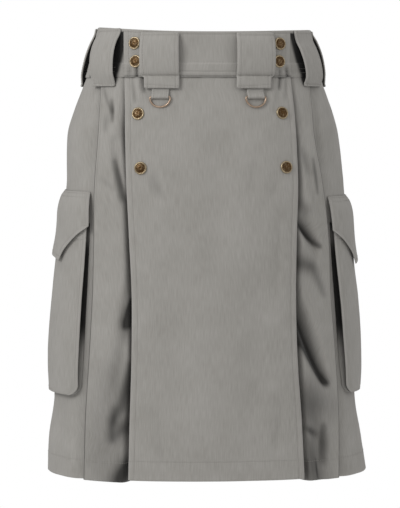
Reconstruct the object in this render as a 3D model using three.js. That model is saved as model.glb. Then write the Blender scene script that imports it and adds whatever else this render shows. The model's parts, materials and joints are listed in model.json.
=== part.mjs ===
// A worn utility kilt with a wrapped front apron, knife pleats, wide belt loops, D-rings and cargo pockets.
// Millimetres, +Z up, front towards -Y. The origin is the middle of the waist, where the wearer holds it up.
import * as THREE from "three";

const KILT_LENGTH = 610;
const WAISTBAND_HEIGHT = 61;
const WAIST_TOP = WAISTBAND_HEIGHT / 2;
const WAIST_BOTTOM = -WAISTBAND_HEIGHT / 2;
const HEM = WAIST_TOP - KILT_LENGTH;
const SIDE_RISE = { left: 8, right: 4.5 }; // the waist's top edge dips at the front
const BACK_RISE = 3;

const CLOTH = 1.2; // one layer of heavy cotton
const APRON_CLOTH = 1.4;
const DOUBLE_CLOTH = 2.4; // waistbands and loops are folded double
const FLAP_CLOTH = 1.6;
const SEAM_GAP = 0.3;
const PANEL_GAP = 0.5; // between the middles of panels that meet at an angle, so that their faces stay clear

const COLOURS = { cloth: 0x98958f, brass: 0x7a6244, ring: 0x8d7a66 };

// Half sizes of the filled-out garment at each height: left, right, front and back of its middle.
const FIGURE = [
  { z: 38, left: 149, right: 149, front: 112, back: 112 },
  { z: -30, left: 165, right: 164, front: 119, back: 124 },
  { z: -75, left: 182, right: 180, front: 127, back: 140 },
  { z: -110, left: 192, right: 189, front: 133, back: 152 },
  { z: -178, left: 194, right: 197, front: 141, back: 166 },
  { z: -330, left: 201, right: 203, front: 149, back: 172 },
  { z: -485, left: 213, right: 214, front: 156, back: 178 },
  { z: -535, left: 220, right: 222, front: 159, back: 181 },
  { z: -584, left: 222, right: 230, front: 161, back: 184 },
];
const SQUARENESS = 2.3; // 2 is an ellipse, and more is boxier

// The apron's two edges and the two front pleats' folded edges, as X on the front at each height.
const FRONT_EDGES = [
  { z: 38, apronLeft: -112.5, apronRight: 113, foldLeft: -140, foldRight: 139 },
  { z: -30, apronLeft: -112, apronRight: 113, foldLeft: -144, foldRight: 142 },
  { z: -75, apronLeft: -111, apronRight: 117, foldLeft: -147, foldRight: 145 },
  { z: -110, apronLeft: -111, apronRight: 119, foldLeft: -149, foldRight: 147 },
  { z: -180, apronLeft: -109, apronRight: 121, foldLeft: -154, foldRight: 159 },
  { z: -250, apronLeft: -105.5, apronRight: 118.5, foldLeft: -155, foldRight: 167 },
  { z: -330, apronLeft: -102, apronRight: 117, foldLeft: -157, foldRight: 170 },
  { z: -420, apronLeft: -102.5, apronRight: 119, foldLeft: -162, foldRight: 177 },
  { z: -500, apronLeft: -105, apronRight: 124, foldLeft: -167, foldRight: 181 },
  { z: -584, apronLeft: -107, apronRight: 128, foldLeft: -169, foldRight: 180 },
];

// How far the layers stand from the figure at each height: the apron, the fold of a front pleat, the fold of
// a back pleat, the pitch between a pleat's layers, and the depth of the recess beside the apron.
const LAYERS = [
  { z: -30, apron: 2.8, frontFold: 0.8, backFold: 0.8, pitch: 2.2, recess: 2.6 },
  { z: -75, apron: 4, frontFold: 1.4, backFold: 1.2, pitch: 2.6, recess: 7 },
  { z: -110, apron: 4.6, frontFold: 2, backFold: 1.6, pitch: 3, recess: 12 },
  { z: -180, apron: 5.4, frontFold: 2.4, backFold: 2, pitch: 3.2, recess: 22 },
  { z: -330, apron: 7, frontFold: 2.8, backFold: 3, pitch: 3.6, recess: 36 },
  { z: -485, apron: 8, frontFold: 3.4, backFold: 4.6, pitch: 4.4, recess: 41 },
  { z: -584, apron: 8.5, frontFold: 4.4, backFold: 6.5, pitch: 5.2, recess: 38 },
];

// Soft troughs in the front pleats, as lines from one end to the other. The distance is from the apron's edge.
const PLEAT_TROUGHS = [
  { side: -1, z1: -120, from1: 16, z2: -205, from2: 4, width: 11, depth: 6 },
  { side: -1, z1: -365, from1: 6, z2: -470, from2: 26, width: 13, depth: 9 },
  { side: -1, z1: -500, from1: 30, z2: -530, from2: 8, width: 10, depth: -5 },
  { side: 1, z1: -120, from1: 24, z2: -185, from2: 34, width: 9, depth: 6 },
  { side: 1, z1: -215, from1: 4, z2: -275, from2: 38, width: 11, depth: 10 },
  { side: 1, z1: -345, from1: 2, z2: -445, from2: 44, width: 13, depth: 13 },
  { side: 1, z1: -490, from1: 28, z2: -575, from2: 30, width: 10, depth: 8 },
];
// Broad waves that hang in the apron, as troughs across its width.
const APRON_TROUGHS = [
  { x1: -42, z1: -130, x2: -48, z2: -560, width: 22, depth: 2.4 },
  { x1: 22, z1: -90, x2: 0, z2: -330, width: 26, depth: 2.2 },
  { x1: 70, z1: -300, x2: 58, z2: -575, width: 24, depth: 2.6 },
];

const POCKET_TOP = -232; // its mouth, under the flap
const POCKET_BOTTOM = -470;
const FLAP_TOP = { left: -189, right: -196 };
const APRON_LEVELS = [-75, -112, -148, -192, -236, -285, -335, -385, -435, -472, -510, -545];
const UPPER_LEVELS = [-75, -112, -148];
const LOWER_LEVELS = [POCKET_TOP, -285, -335, -385, -435, POCKET_BOTTOM, -510, -545];
const BACK_LEVELS = [-75, -148, POCKET_TOP, -335, -435, -510]; // some of the side panels' own levels
const STRIP_HEM_DROP = 4; // the front pleats hang a little lower than the apron

const APRON_COLUMNS = 17;
const PLEAT_FACE = [0, 0.12, 0.24, 0.38, 0.54, 0.72, 0.88, 1]; // a front pleat's columns from the apron's edge
const PLEAT_INSIDE = 28; // how far a front pleat reaches in behind the apron
const PLEAT_TURN = 11; // how quickly a front pleat turns back into its recess
const PLEAT_RETURN = 16; // the hidden layer under a front pleat's fold
const PLEAT_RETURN_SHARE = 0.36; // of the pleat's width, where that is less
const PLEAT_FLAT = 10; // the soft troughs end this far before the hidden layer
const PLEAT_SETTLE = 22; // the side panel rises to the figure over this distance
const PLEAT_UNDER = 2; // and stays low until this far past the fold
const SIDE_SEAM = 128; // degrees round from the front
const LAST_BACK_FOLD = 175.5;
const BACK_PLEATS = 5;
const BACK_RETURN = 12;

const UNDER_APRON_GAP = 1.6;
const UNDER_APRON_INSET = 5;
const UNDER_APRON_COLUMNS = 9;
const UNDER_APRON_HEM_RISE = 8;

const WAISTBAND_COLUMNS = 61;
const WAISTBAND_LEVELS = [0, 0.3, 0.65, 1]; // shares of its height
const WRAP_END = -22; // degrees, the free end hidden behind the apron
const WRAP_GAP = 2.2;
const APRON_WAISTBAND_OUT = 3.1;

const LOOP_TOP = WAIST_TOP - 1;
const LOOP_BOTTOM = -42.5;
const FRONT_LOOP = { x: 64, width: 50 };
// The front loops bow out for a belt, are sewn down, and end in a flat tail over the D-ring's tab.
const FRONT_LOOP_PROFILE = [
  { z: LOOP_TOP, out: 6.1 },
  { z: 25.5, out: 6.2 },
  { z: 18, out: 12 },
  { z: 5, out: 14.8 },
  { z: -9, out: 14.4 },
  { z: -20, out: 10.8 },
  { z: -26.5, out: 6.4 },
  { z: -33, out: 8.5 },
  { z: -45.5, out: 9.1 },
];
// The other loops bow out by this share of their bow at each share of their length.
const LOOP_PROFILE = [
  { along: 0, bow: 0 },
  { along: 0.06, bow: 0.02 },
  { along: 0.18, bow: 0.55 },
  { along: 0.35, bow: 0.92 },
  { along: 0.55, bow: 1 },
  { along: 0.75, bow: 0.8 },
  { along: 0.89, bow: 0.3 },
  { along: 0.96, bow: 0.02 },
  { along: 1, bow: 0 },
];
// The angles of the other loops' four corners. The lean is how much further out the front edge bows, and
// a skew under 1 moves the bow down.
const LOOPS = [
  { name: "front_side_left", top: [-49, -75], bottom: [-45, -63], bow: 9, lean: 3, skew: 0.9 },
  { name: "front_side_right", top: [50.5, 74], bottom: [50, 68], bow: 7, lean: 3, skew: 0.65 },
  { name: "side_left", top: [-90, -110], bottom: [-90, -108], bow: 6, lean: 0, skew: 0.8 },
  { name: "side_right", top: [90, 111], bottom: [90, 109], bow: 7, lean: 0, skew: 1 },
  { name: "back_left", top: [-139, -161], bottom: [-140, -160], bow: 8, lean: 0, skew: 1 },
  { name: "back_right", top: [139, 161], bottom: [140, 160], bow: 8, lean: 0, skew: 1 },
];
const LOOP_COLUMNS = [0, 0.33, 0.67, 1];
const LOOP_HEAD_OUT = 3.1; // the head of a loop lies on the waistband
const LOOP_FOOT_OUT = 4.2; // and its foot lies over the pleats' folds

const POCKET_HALF_WIDTH = 92;
const POCKET_CORNER = 14;
const POCKET_WALL = 1.3;
const POCKET_GAP = 0.45; // from the panel to the gusset
const POCKET_GUSSET = 0.7; // how far the gusset folds in, as a share of the thickness
// The middle of each pocket, as Y, at its top and at its bottom.
const POCKETS = [
  { side: -1, name: "left", top: 0, bottom: -7 },
  { side: 1, name: "right", top: 8, bottom: 10 },
];
// The pocket's thickness at each height, at its edges and in its middle.
const POCKET_THICKNESS = [
  { z: POCKET_TOP, edge: 7.5, middle: 9 },
  { z: -285, edge: 9.5, middle: 11 },
  { z: -335, edge: 11.5, middle: 14 },
  { z: -385, edge: 12, middle: 15 },
  { z: -435, edge: 11, middle: 13 },
  { z: POCKET_BOTTOM, edge: 7.5, middle: 8.5 },
];
const POCKET_ROUNDED = [-456, -466, POCKET_BOTTOM]; // the levels through its rounded lower corners
const POCKET_PLACES = [-1, -0.66, -0.33, 0, 0.33, 0.66, 1]; // the panel's and pocket's columns

const FLAP_OVERHANG = 3; // past the pocket at each side
const FLAP_GAP = 0.5; // from the panel at its hinge seam
const FLAP_STAND = 1; // clear of the pocket's face
const FLAP_TIP_LIFT = 2.5;
// The flap's length at each share of its half width: its two lower corners are cut off slanting.
const FLAP_LENGTHS = [
  { share: 0, length: 89 },
  { share: 0.33, length: 92 },
  { share: 0.55, length: 95 },
  { share: 0.66, length: 82 },
  { share: 1, length: 47 },
];
// The flap's run: its drop below the hinge seam, a share of what is left, and a share of its stand.
const FLAP_PROFILE = [
  { drop: 0, share: 0, stand: 0 },
  { drop: 2.5, share: 0, stand: 0.16 },
  { drop: 8, share: 0, stand: 0.52 },
  { drop: 20, share: 0, stand: 0.86 },
  { drop: 34, share: 0, stand: 1 },
  { drop: 46, share: 0, stand: 1 },
  { drop: 46, share: 0.5, stand: 1 },
  { drop: 46, share: 1, stand: 1 },
];

const SNAP_RADIUS = 8.7;
// The cap's outline from its back to its crown: a rim, a groove and a low dome.
const SNAP_PROFILE = [
  { r: 0, h: 0 },
  { r: 8.1, h: 0 },
  { r: SNAP_RADIUS, h: 1.1 },
  { r: 7.6, h: 2.6 },
  { r: 6.1, h: 2 },
  { r: 4.4, h: 2.7 },
  { r: 0, h: 3.1 },
];
const SNAP_SIDES = 14;
const SNAPS = [
  { name: "snap_left_1", x: -97.5, z: 15.5 },
  { name: "snap_left_2", x: -96.5, z: -9.5 },
  { name: "snap_left_3", x: -93.8, z: -81 },
  { name: "snap_left_4", x: -90.6, z: -155 },
  { name: "snap_right_1", x: 97.9, z: 15 },
  { name: "snap_right_2", x: 97, z: -9.5 },
  { name: "snap_right_3", x: 100.1, z: -80 },
  { name: "snap_right_4", x: 104.9, z: -154 },
];

const RING_WIRE = 1.3; // radius
const RING_HALF_WIDTH = 13.9;
const RING_CORNER = 2.2;
const RING_DEPTH = 14;
const RING_SIDES = 6;
const RING_ARC_STEPS = 14;
const RING_REST_TILT = -0.11; // radians, so that its lowest point lies against the apron
const TAB_CLOTH = 1;
const TAB_WIDTH = 22.8;
const TAB_CLEARANCE = 0.4;
const TAB_TOP = -34;
const BAR_HEIGHT = -58.5;

// Reads one column of a table at a height, on a smooth curve through its rows.
function read(table, column, z) {
  const last = table.length - 1;
  if (z >= table[0].z) return table[0][column];
  if (z <= table[last].z) return table[last][column];
  let i = 0;
  while (z < table[i + 1].z) i++;
  const slope = (a, b) => (table[b][column] - table[a][column]) / (table[b].z - table[a].z);
  const step = table[i + 1].z - table[i].z;
  const here = slope(Math.max(i - 1, 0), i + 1) * step;
  const next = slope(i, Math.min(i + 2, last)) * step;
  const t = (z - table[i].z) / step;
  const from = table[i][column];
  const to = table[i + 1][column];
  const cubic = t * t * (3 - 2 * t);
  return from + (to - from) * cubic + here * t * (1 - t) * (1 - t) - next * t * t * (1 - t);
}

const radians = THREE.MathUtils.degToRad;
const power = (value, exponent) => Math.sign(value) * Math.abs(value) ** exponent;

// The level direction straight out of the figure at an angle round from the front and a height.
function outwards(degrees, z) {
  const s = Math.sin(radians(degrees));
  const c = Math.cos(radians(degrees));
  const halfX = read(FIGURE, s < 0 ? "left" : "right", z);
  const halfY = read(FIGURE, c > 0 ? "front" : "back", z);
  const lean = (2 * (SQUARENESS - 1)) / SQUARENESS;
  return new THREE.Vector3(power(s, lean) / halfX, -power(c, lean) / halfY, 0).normalize();
}

// A point on the figure at an angle, a height and a distance outwards.
function plan(degrees, z, out = 0) {
  const s = Math.sin(radians(degrees));
  const c = Math.cos(radians(degrees));
  const x = read(FIGURE, s < 0 ? "left" : "right", z) * power(s, 2 / SQUARENESS);
  const y = -read(FIGURE, c > 0 ? "front" : "back", z) * power(c, 2 / SQUARENESS);
  return new THREE.Vector3(x, y, z).addScaledVector(outwards(degrees, z), out);
}

// The angle where the figure has this X on its front, or this Y on one side.
function angleAtX(x, z) {
  const half = read(FIGURE, x < 0 ? "left" : "right", z);
  return THREE.MathUtils.radToDeg(Math.asin(power(x / half, SQUARENESS / 2)));
}
function angleAtY(y, z, side) {
  const half = read(FIGURE, y < 0 ? "front" : "back", z);
  return side * THREE.MathUtils.radToDeg(Math.acos(power(-y / half, SQUARENESS / 2)));
}

// The angle a distance further round the figure.
function along(degrees, z, distance) {
  const steps = 4;
  const nudge = 0.2;
  let angle = degrees;
  for (let i = 0; i < steps; i++) {
    const speed = plan(angle + nudge, z).distanceTo(plan(angle - nudge, z)) / (2 * nudge);
    angle += distance / steps / speed;
  }
  return angle;
}
const distanceAlong = (from, to, z) => {
  const steps = 6;
  let total = 0;
  for (let i = 0; i < steps; i++) {
    const a = from + ((to - from) * i) / steps;
    total += plan(a, z).distanceTo(plan(a + (to - from) / steps, z));
  }
  return total;
};

// Which step of a rising or falling list a value is in, and its share of that step.
function bracket(list, value) {
  const falling = list[0] > list[1];
  const found = list.findIndex((one) => (falling ? one <= value : one >= value));
  const next = found < 0 ? list.length - 1 : Math.max(found, 1);
  return { next, share: (value - list[next - 1]) / (list[next] - list[next - 1]) };
}

// The depth of a soft trough at a point, from its distance to the trough's line.
function trough(a, z, a1, z1, a2, z2, width, depth) {
  const run = (a2 - a1) ** 2 + (z2 - z1) ** 2;
  const t = THREE.MathUtils.clamp(((a - a1) * (a2 - a1) + (z - z1) * (z2 - z1)) / run, 0, 1);
  const away = Math.hypot(a - a1 - t * (a2 - a1), z - z1 - t * (z2 - z1));
  return depth * Math.exp(-((away / width) ** 2)) * Math.sqrt(Math.sin(Math.PI * (0.12 + 0.76 * t)));
}

const mesh = (name, geometry, colour, metalness = 0) => {
  const roughness = metalness ? 0.35 : 0.9;
  const material = new THREE.MeshStandardMaterial({ color: colour, roughness, metalness });
  const made = new THREE.Mesh(geometry, material);
  made.name = name;
  return made;
};

// A closed body from points and triangles, turned to face out.
function body(points, triangles) {
  let volume = 0;
  for (const [a, b, c] of triangles) {
    volume += points[a].dot(new THREE.Vector3().crossVectors(points[b], points[c]));
  }
  const index = triangles.flatMap(([a, b, c]) => (volume < 0 ? [a, c, b] : [a, b, c]));
  const geometry = new THREE.BufferGeometry().setFromPoints(points);
  geometry.setIndex(index);
  geometry.computeVertexNormals();
  return geometry;
}

const quad = (a, b, c, d) => [
  [a, b, c],
  [a, c, d],
];

// The unit normals of a grid of points, each lengthened at a bend so that the wall keeps its thickness.
// They are kept level in the first and last rows of a level sheet, so that its edges are cut level.
function gridNormals(grid, level) {
  const rows = grid.length;
  const columns = grid[0].length;
  const most = 1.5;
  const faces = [];
  for (let j = 0; j < rows - 1; j++) {
    faces.push([]);
    for (let i = 0; i < columns - 1; i++) {
      const across = new THREE.Vector3().subVectors(grid[j + 1][i + 1], grid[j][i]);
      const back = new THREE.Vector3().subVectors(grid[j + 1][i], grid[j][i + 1]);
      faces[j].push(across.cross(back).normalize());
    }
  }
  return grid.map((row, j) =>
    row.map((_, i) => {
      const near = [];
      for (const fj of [j - 1, j]) {
        for (const fi of [i - 1, i]) if (faces[fj]?.[fi]) near.push(faces[fj][fi]);
      }
      const sum = near.reduce((total, n) => total.add(n), new THREE.Vector3());
      if (level && (j === 0 || j === rows - 1)) sum.z = 0;
      sum.normalize();
      const lean = near.reduce((total, n) => total + n.dot(sum), 0) / near.length;
      return sum.multiplyScalar(Math.min(most, 1 / lean));
    }),
  );
}

// A wall of cloth of an even thickness about a grid of points.
function sheet(grid, thickness, level = true) {
  const rows = grid.length;
  const columns = grid[0].length;
  const normals = gridNormals(grid, level);
  const face = (sign) =>
    grid.flatMap((row, j) =>
      row.map((p, i) => p.clone().addScaledVector(normals[j][i], (sign * thickness) / 2)),
    );
  const points = [...face(1), ...face(-1)];
  const under = rows * columns;
  const at = (j, i) => j * columns + i;
  const triangles = [];
  for (let j = 0; j < rows - 1; j++) {
    for (let i = 0; i < columns - 1; i++) {
      const corners = [at(j, i), at(j, i + 1), at(j + 1, i + 1), at(j + 1, i)];
      triangles.push(...quad(...corners));
      triangles.push(...quad(...corners.map((k) => k + under)).map(([a, b, c]) => [a, c, b]));
    }
  }
  const rim = [];
  for (let i = 0; i < columns - 1; i++) rim.push(at(0, i));
  for (let j = 0; j < rows - 1; j++) rim.push(at(j, columns - 1));
  for (let i = columns - 1; i > 0; i--) rim.push(at(rows - 1, i));
  for (let j = rows - 1; j > 0; j--) rim.push(at(j, 0));
  rim.forEach((k, n) => {
    const next = rim[(n + 1) % rim.length];
    triangles.push(...quad(next, k, k + under, next + under));
  });
  return body(points, triangles);
}

const spread = (from, to, count) =>
  Array.from({ length: count }, (_, i) => from + ((to - from) * i) / (count - 1));

// The waist's top edge at an angle.
function waistTop(degrees) {
  const s = Math.sin(radians(degrees));
  const c = Math.cos(radians(degrees));
  return WAIST_TOP + SIDE_RISE[s < 0 ? "left" : "right"] * s * s + (c < 0 ? BACK_RISE * c * c : 0);
}

function waistband() {
  const angles = spread(WRAP_END, WRAP_END + 360 - WRAP_GAP, WAISTBAND_COLUMNS);
  const grid = WAISTBAND_LEVELS.map((share) =>
    angles.map((angle) => {
      const z = THREE.MathUtils.lerp(WAIST_BOTTOM, waistTop(angle), share);
      return plan(angle, z);
    }),
  );
  return mesh("waistband", sheet(grid, DOUBLE_CLOTH), COLOURS.cloth);
}

const apronAngle = (z, share) => {
  const from = angleAtX(read(FRONT_EDGES, "apronLeft", z), z);
  const to = angleAtX(read(FRONT_EDGES, "apronRight", z), z);
  return THREE.MathUtils.lerp(from, to, share);
};

function apronWaistband() {
  const grid = WAISTBAND_LEVELS.map((share) =>
    spread(0, 1, APRON_COLUMNS).map((across) => {
      const top = waistTop(apronAngle(WAIST_TOP, across));
      const z = THREE.MathUtils.lerp(WAIST_BOTTOM, top, share);
      return plan(apronAngle(z, across), z, APRON_WAISTBAND_OUT);
    }),
  );
  return mesh("apron_waistband", sheet(grid, DOUBLE_CLOTH), COLOURS.cloth);
}

// How far the apron stands out, with its hanging waves.
function apronOut(degrees, z) {
  const x = plan(degrees, z).x;
  const waves = APRON_TROUGHS.reduce(
    (sum, w) => sum + trough(x, z, w.x1, w.z1, w.x2, w.z2, w.width, w.depth),
    0,
  );
  return read(LAYERS, "apron", z) - waves;
}

const panelLevels = (levels, hem) => [WAIST_BOTTOM - SEAM_GAP, ...levels, hem];
const sideLevels = (name) => [...UPPER_LEVELS, FLAP_TOP[name], ...LOWER_LEVELS];

function apron() {
  const grid = panelLevels(APRON_LEVELS, HEM).map((z) =>
    spread(0, 1, APRON_COLUMNS).map((across) => {
      const angle = apronAngle(z, across);
      return plan(angle, z, apronOut(angle, z));
    }),
  );
  return mesh("apron", sheet(grid, APRON_CLOTH), COLOURS.cloth);
}

// The layer that wraps under the apron, just behind the inner edges of the two front pleats.
function underApron() {
  const grid = panelLevels(BACK_LEVELS, HEM + UNDER_APRON_HEM_RISE).map((z) => {
    const out = -read(LAYERS, "recess", z) - CLOTH - UNDER_APRON_GAP;
    const from = along(apronAngle(z, 0), z, UNDER_APRON_INSET);
    const to = along(apronAngle(z, 1), z, -UNDER_APRON_INSET);
    return spread(from, to, UNDER_APRON_COLUMNS).map((angle) => plan(angle, z, out));
  });
  return mesh("under_apron", sheet(grid, CLOTH), COLOURS.cloth);
}

// A half turn of cloth from one layer to the next, as places round from a fold and distances out.
function foldArc(degrees, z, out, pitch, direction, turns) {
  const radius = pitch / 2;
  return turns.map((turn) => {
    const reach = radius * Math.sin(Math.PI * turn);
    const drop = radius * (1 - Math.cos(Math.PI * turn));
    return { angle: along(degrees, z, direction * reach), out: out - drop };
  });
}
const OUTER_TURNS = [0.25, 0.5, 0.75];
const HIDDEN_TURNS = [0.33, 0.67];

const foldAngle = (side, z) => angleAtX(read(FRONT_EDGES, side < 0 ? "foldLeft" : "foldRight", z), z);

// The angle of a place across a pocket. Above and below it the places keep their shares of the side panel.
function pocketAngle({ side, top, bottom }, place, z) {
  const held = THREE.MathUtils.clamp(z, POCKET_BOTTOM, POCKET_TOP);
  const middle = THREE.MathUtils.mapLinear(held, POCKET_TOP, POCKET_BOTTOM, top, bottom);
  const angle = angleAtY(middle + place, held, side);
  const fold = foldAngle(side, held);
  const share = (angle - fold) / (side * SIDE_SEAM - fold);
  return THREE.MathUtils.lerp(foldAngle(side, z), side * SIDE_SEAM, share);
}

// How far the side panel stands out: it comes from under the front pleat's fold and rises to the figure.
function sidePanelOut(side, degrees, z) {
  const from = distanceAlong(foldAngle(side, z), degrees, z);
  const settled = THREE.MathUtils.smoothstep(from, PLEAT_UNDER, PLEAT_SETTLE);
  return (read(LAYERS, "frontFold", z) - 2 * read(LAYERS, "pitch", z)) * (1 - settled);
}

// The stations round a front pleat and side panel at one height, from behind the apron to the side seam.
function frontStations(side, z) {
  const apronEdge = apronAngle(z, side < 0 ? 0 : 1);
  const fold = foldAngle(side, z);
  const recess = read(LAYERS, "recess", z);
  const lift = read(LAYERS, "frontFold", z);
  const pitch = read(LAYERS, "pitch", z);
  const width = distanceAlong(apronEdge, fold, z);
  const hidden = Math.min(PLEAT_RETURN, PLEAT_RETURN_SHARE * width);
  const stations = [-PLEAT_INSIDE, -PLEAT_INSIDE / 2].map((from) => ({
    angle: along(apronEdge, z, side * from),
    out: -recess,
  }));
  for (const share of PLEAT_FACE) {
    const from = share * (width - pitch / 2);
    const rise = Math.exp(-((from / PLEAT_TURN) ** 2));
    const dents = PLEAT_TROUGHS.filter((t) => t.side === side).reduce(
      (sum, t) => sum + trough(from, z, t.from1, t.z1, t.from2, t.z2, t.width, t.depth),
      0,
    );
    const dent = dents * (1 - rise) * THREE.MathUtils.smoothstep(width - hidden - from, 0, PLEAT_FLAT);
    stations.push({ angle: along(apronEdge, z, side * from), out: lift - (recess + lift) * rise - dent });
  }
  const foldStart = along(fold, z, (-side * pitch) / 2);
  stations.push(...foldArc(foldStart, z, lift, pitch, side, OUTER_TURNS));
  stations.push({ angle: along(fold, z, (-side * hidden) / 2), out: lift - pitch });
  const inner = along(fold, z, -side * hidden);
  stations.push({ angle: inner, out: lift - pitch });
  stations.push(...foldArc(inner, z, lift - pitch, pitch, -side, HIDDEN_TURNS));
  stations.push({ angle: inner, out: lift - 2 * pitch });
  stations.push({ angle: along(fold, z, side * PLEAT_UNDER), out: lift - 2 * pitch });
  const pocket = POCKETS.find((one) => one.side === side);
  for (const share of POCKET_PLACES) {
    const angle = pocketAngle(pocket, share * POCKET_HALF_WIDTH, z);
    stations.push({ angle, out: sidePanelOut(side, angle, z) });
  }
  return stations;
}

const stationPoints = (stations, z) => stations.map(({ angle, out }) => plan(angle, z, out));

// The side seam runs straight between the back panels' levels, a gap's half to either side of its line.
function seamPoint(side, z, offset) {
  const levels = panelLevels(BACK_LEVELS, HEM);
  const { next, share } = bracket(levels, z);
  const at = (level) => plan(along(side * SIDE_SEAM, level, side * offset), level);
  return at(levels[next - 1]).lerp(at(levels[next]), share);
}

function frontPanel(side, name) {
  const hem = HEM - STRIP_HEM_DROP;
  const grid = panelLevels(sideLevels(name), hem).map((z) => [
    ...stationPoints(frontStations(side, z), z),
    seamPoint(side, z, -PANEL_GAP / 2),
  ]);
  return mesh(`front_pleat_side_panel_${name}`, sheet(grid, CLOTH), COLOURS.cloth);
}

// The stations round one half of the pleated back at one height, from the side seam to the middle.
function backStations(side, z) {
  const lift = read(LAYERS, "backFold", z);
  const pitch = read(LAYERS, "pitch", z);
  const under = lift - 2 * pitch;
  const step = (LAST_BACK_FOLD - SIDE_SEAM) / BACK_PLEATS;
  const stations = [{ angle: along(side * SIDE_SEAM, z, (side * PANEL_GAP) / 2), out: 0 }];
  for (let k = 1; k <= BACK_PLEATS; k++) {
    const fold = side * (SIDE_SEAM + k * step);
    const foldStart = along(fold, z, (-side * pitch) / 2);
    if (k > 1) stations.push({ angle: along(fold - side * step, z, side * PLEAT_UNDER), out: under });
    const risen = along(fold, z, -side * (BACK_RETURN + pitch));
    stations.push({ angle: risen, out: lift }, { angle: foldStart, out: lift });
    stations.push(...foldArc(foldStart, z, lift, pitch, side, OUTER_TURNS));
    const inner = along(fold, z, -side * BACK_RETURN);
    stations.push({ angle: inner, out: lift - pitch });
    stations.push(...foldArc(inner, z, lift - pitch, pitch, -side, HIDDEN_TURNS));
    stations.push({ angle: inner, out: under });
  }
  stations.push({ angle: along(180 * side, z, -side * (PANEL_GAP / 2)), out: under });
  return stations;
}

function backPanel(side, name) {
  const grid = panelLevels(BACK_LEVELS, HEM).map((z) => stationPoints(backStations(side, z), z));
  return mesh(`back_pleats_${name}`, sheet(grid, CLOTH), COLOURS.cloth);
}

// A belt loop across the waistband: rows down its length, columns across its width.
function beltLoop(name, rows) {
  const grid = rows.map(({ angles, z, outs }) =>
    LOOP_COLUMNS.map((share) => {
      const angle = THREE.MathUtils.lerp(angles[0], angles[1], share);
      return plan(angle, z, THREE.MathUtils.lerp(outs[0], outs[1], share));
    }),
  );
  return mesh(`belt_loop_${name}`, sheet(grid, DOUBLE_CLOTH, false), COLOURS.cloth);
}

function frontLoop(side, name) {
  const rows = FRONT_LOOP_PROFILE.map(({ z, out }) => {
    const middle = angleAtX(side * FRONT_LOOP.x, z);
    const edge = (sign) => along(middle, z, (sign * FRONT_LOOP.width) / 2);
    return { angles: [edge(-1), edge(1)], z, outs: [out, out] };
  });
  return beltLoop(`front_${name}`, rows);
}

function otherLoop({ name, top, bottom, bow, lean, skew }) {
  const rise = waistTop((top[0] + top[1]) / 2) - WAIST_TOP;
  const rows = LOOP_PROFILE.map((row) => {
    const share = row.along ** skew;
    const base = THREE.MathUtils.lerp(LOOP_HEAD_OUT, LOOP_FOOT_OUT, share);
    return {
      angles: [0, 1].map((edge) => THREE.MathUtils.lerp(top[edge], bottom[edge], share)),
      z: THREE.MathUtils.lerp(LOOP_TOP + rise, LOOP_BOTTOM, share),
      outs: [base + (bow + lean) * row.bow, base + bow * row.bow],
    };
  });
  return beltLoop(name, rows);
}

// A point on the outer face of the apron or its waistband, which run straight between their levels.
function frontPoint(x, z) {
  const onBand = z > WAIST_BOTTOM;
  const levels = onBand
    ? WAISTBAND_LEVELS.map((share) => THREE.MathUtils.lerp(WAIST_TOP, WAIST_BOTTOM, share))
    : panelLevels(APRON_LEVELS, HEM);
  const { next, share } = bracket(levels, z);
  const at = (level) => {
    const angle = angleAtX(x, level);
    const bandOut = APRON_WAISTBAND_OUT + DOUBLE_CLOTH / 2;
    return plan(angle, level, onBand ? bandOut : apronOut(angle, level) + APRON_CLOTH / 2);
  };
  return at(levels[next - 1]).lerp(at(levels[next]), share);
}

// A place and its turn on the front: X along the cloth, Y up it and Z out of it.
function frontPlace(x, z) {
  const step = 3;
  const across = frontPoint(x + step, z).sub(frontPoint(x - step, z)).normalize();
  const up = frontPoint(x, z + step).sub(frontPoint(x, z - step)).normalize();
  const out = new THREE.Vector3().crossVectors(across, up).normalize();
  up.crossVectors(out, across);
  return { origin: frontPoint(x, z), turn: new THREE.Matrix4().makeBasis(across, up, out) };
}

function snap({ name, x, z }) {
  const profile = SNAP_PROFILE.map(({ r, h }) => new THREE.Vector2(r, h));
  const geometry = new THREE.LatheGeometry(profile, SNAP_SIDES).rotateX(Math.PI / 2);
  const made = mesh(name, geometry, COLOURS.brass, 1);
  const place = frontPlace(x, z);
  made.position.copy(place.origin);
  made.quaternion.setFromRotationMatrix(place.turn);
  made.translateZ(SEAM_GAP);
  return made;
}

// A point over the side panel, which runs straight between its own levels and columns.
function overSidePanel(pocket, place, z, out) {
  const levels = panelLevels(sideLevels(pocket.name), HEM);
  const places = POCKET_PLACES.map((share) => share * POCKET_HALF_WIDTH);
  const down = bracket(levels, z);
  const across = bracket(places, place);
  const point = new THREE.Vector3();
  const normal = new THREE.Vector3();
  for (const j of [0, 1]) {
    for (const i of [0, 1]) {
      const level = levels[down.next - j];
      const angle = pocketAngle(pocket, places[across.next - i], level);
      const weight = (j ? 1 - down.share : down.share) * (i ? 1 - across.share : across.share);
      point.addScaledVector(plan(angle, level, sidePanelOut(pocket.side, angle, level)), weight);
      normal.addScaledVector(outwards(angle, level), weight);
    }
  }
  return point.addScaledVector(normal.normalize(), out);
}

// A pocket's thickness at a height and a share of its half width.
function pocketThickness(share, z) {
  const middle = read(POCKET_THICKNESS, "middle", z);
  return THREE.MathUtils.lerp(middle, read(POCKET_THICKNESS, "edge", z), Math.min(share * share, 1));
}

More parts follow.
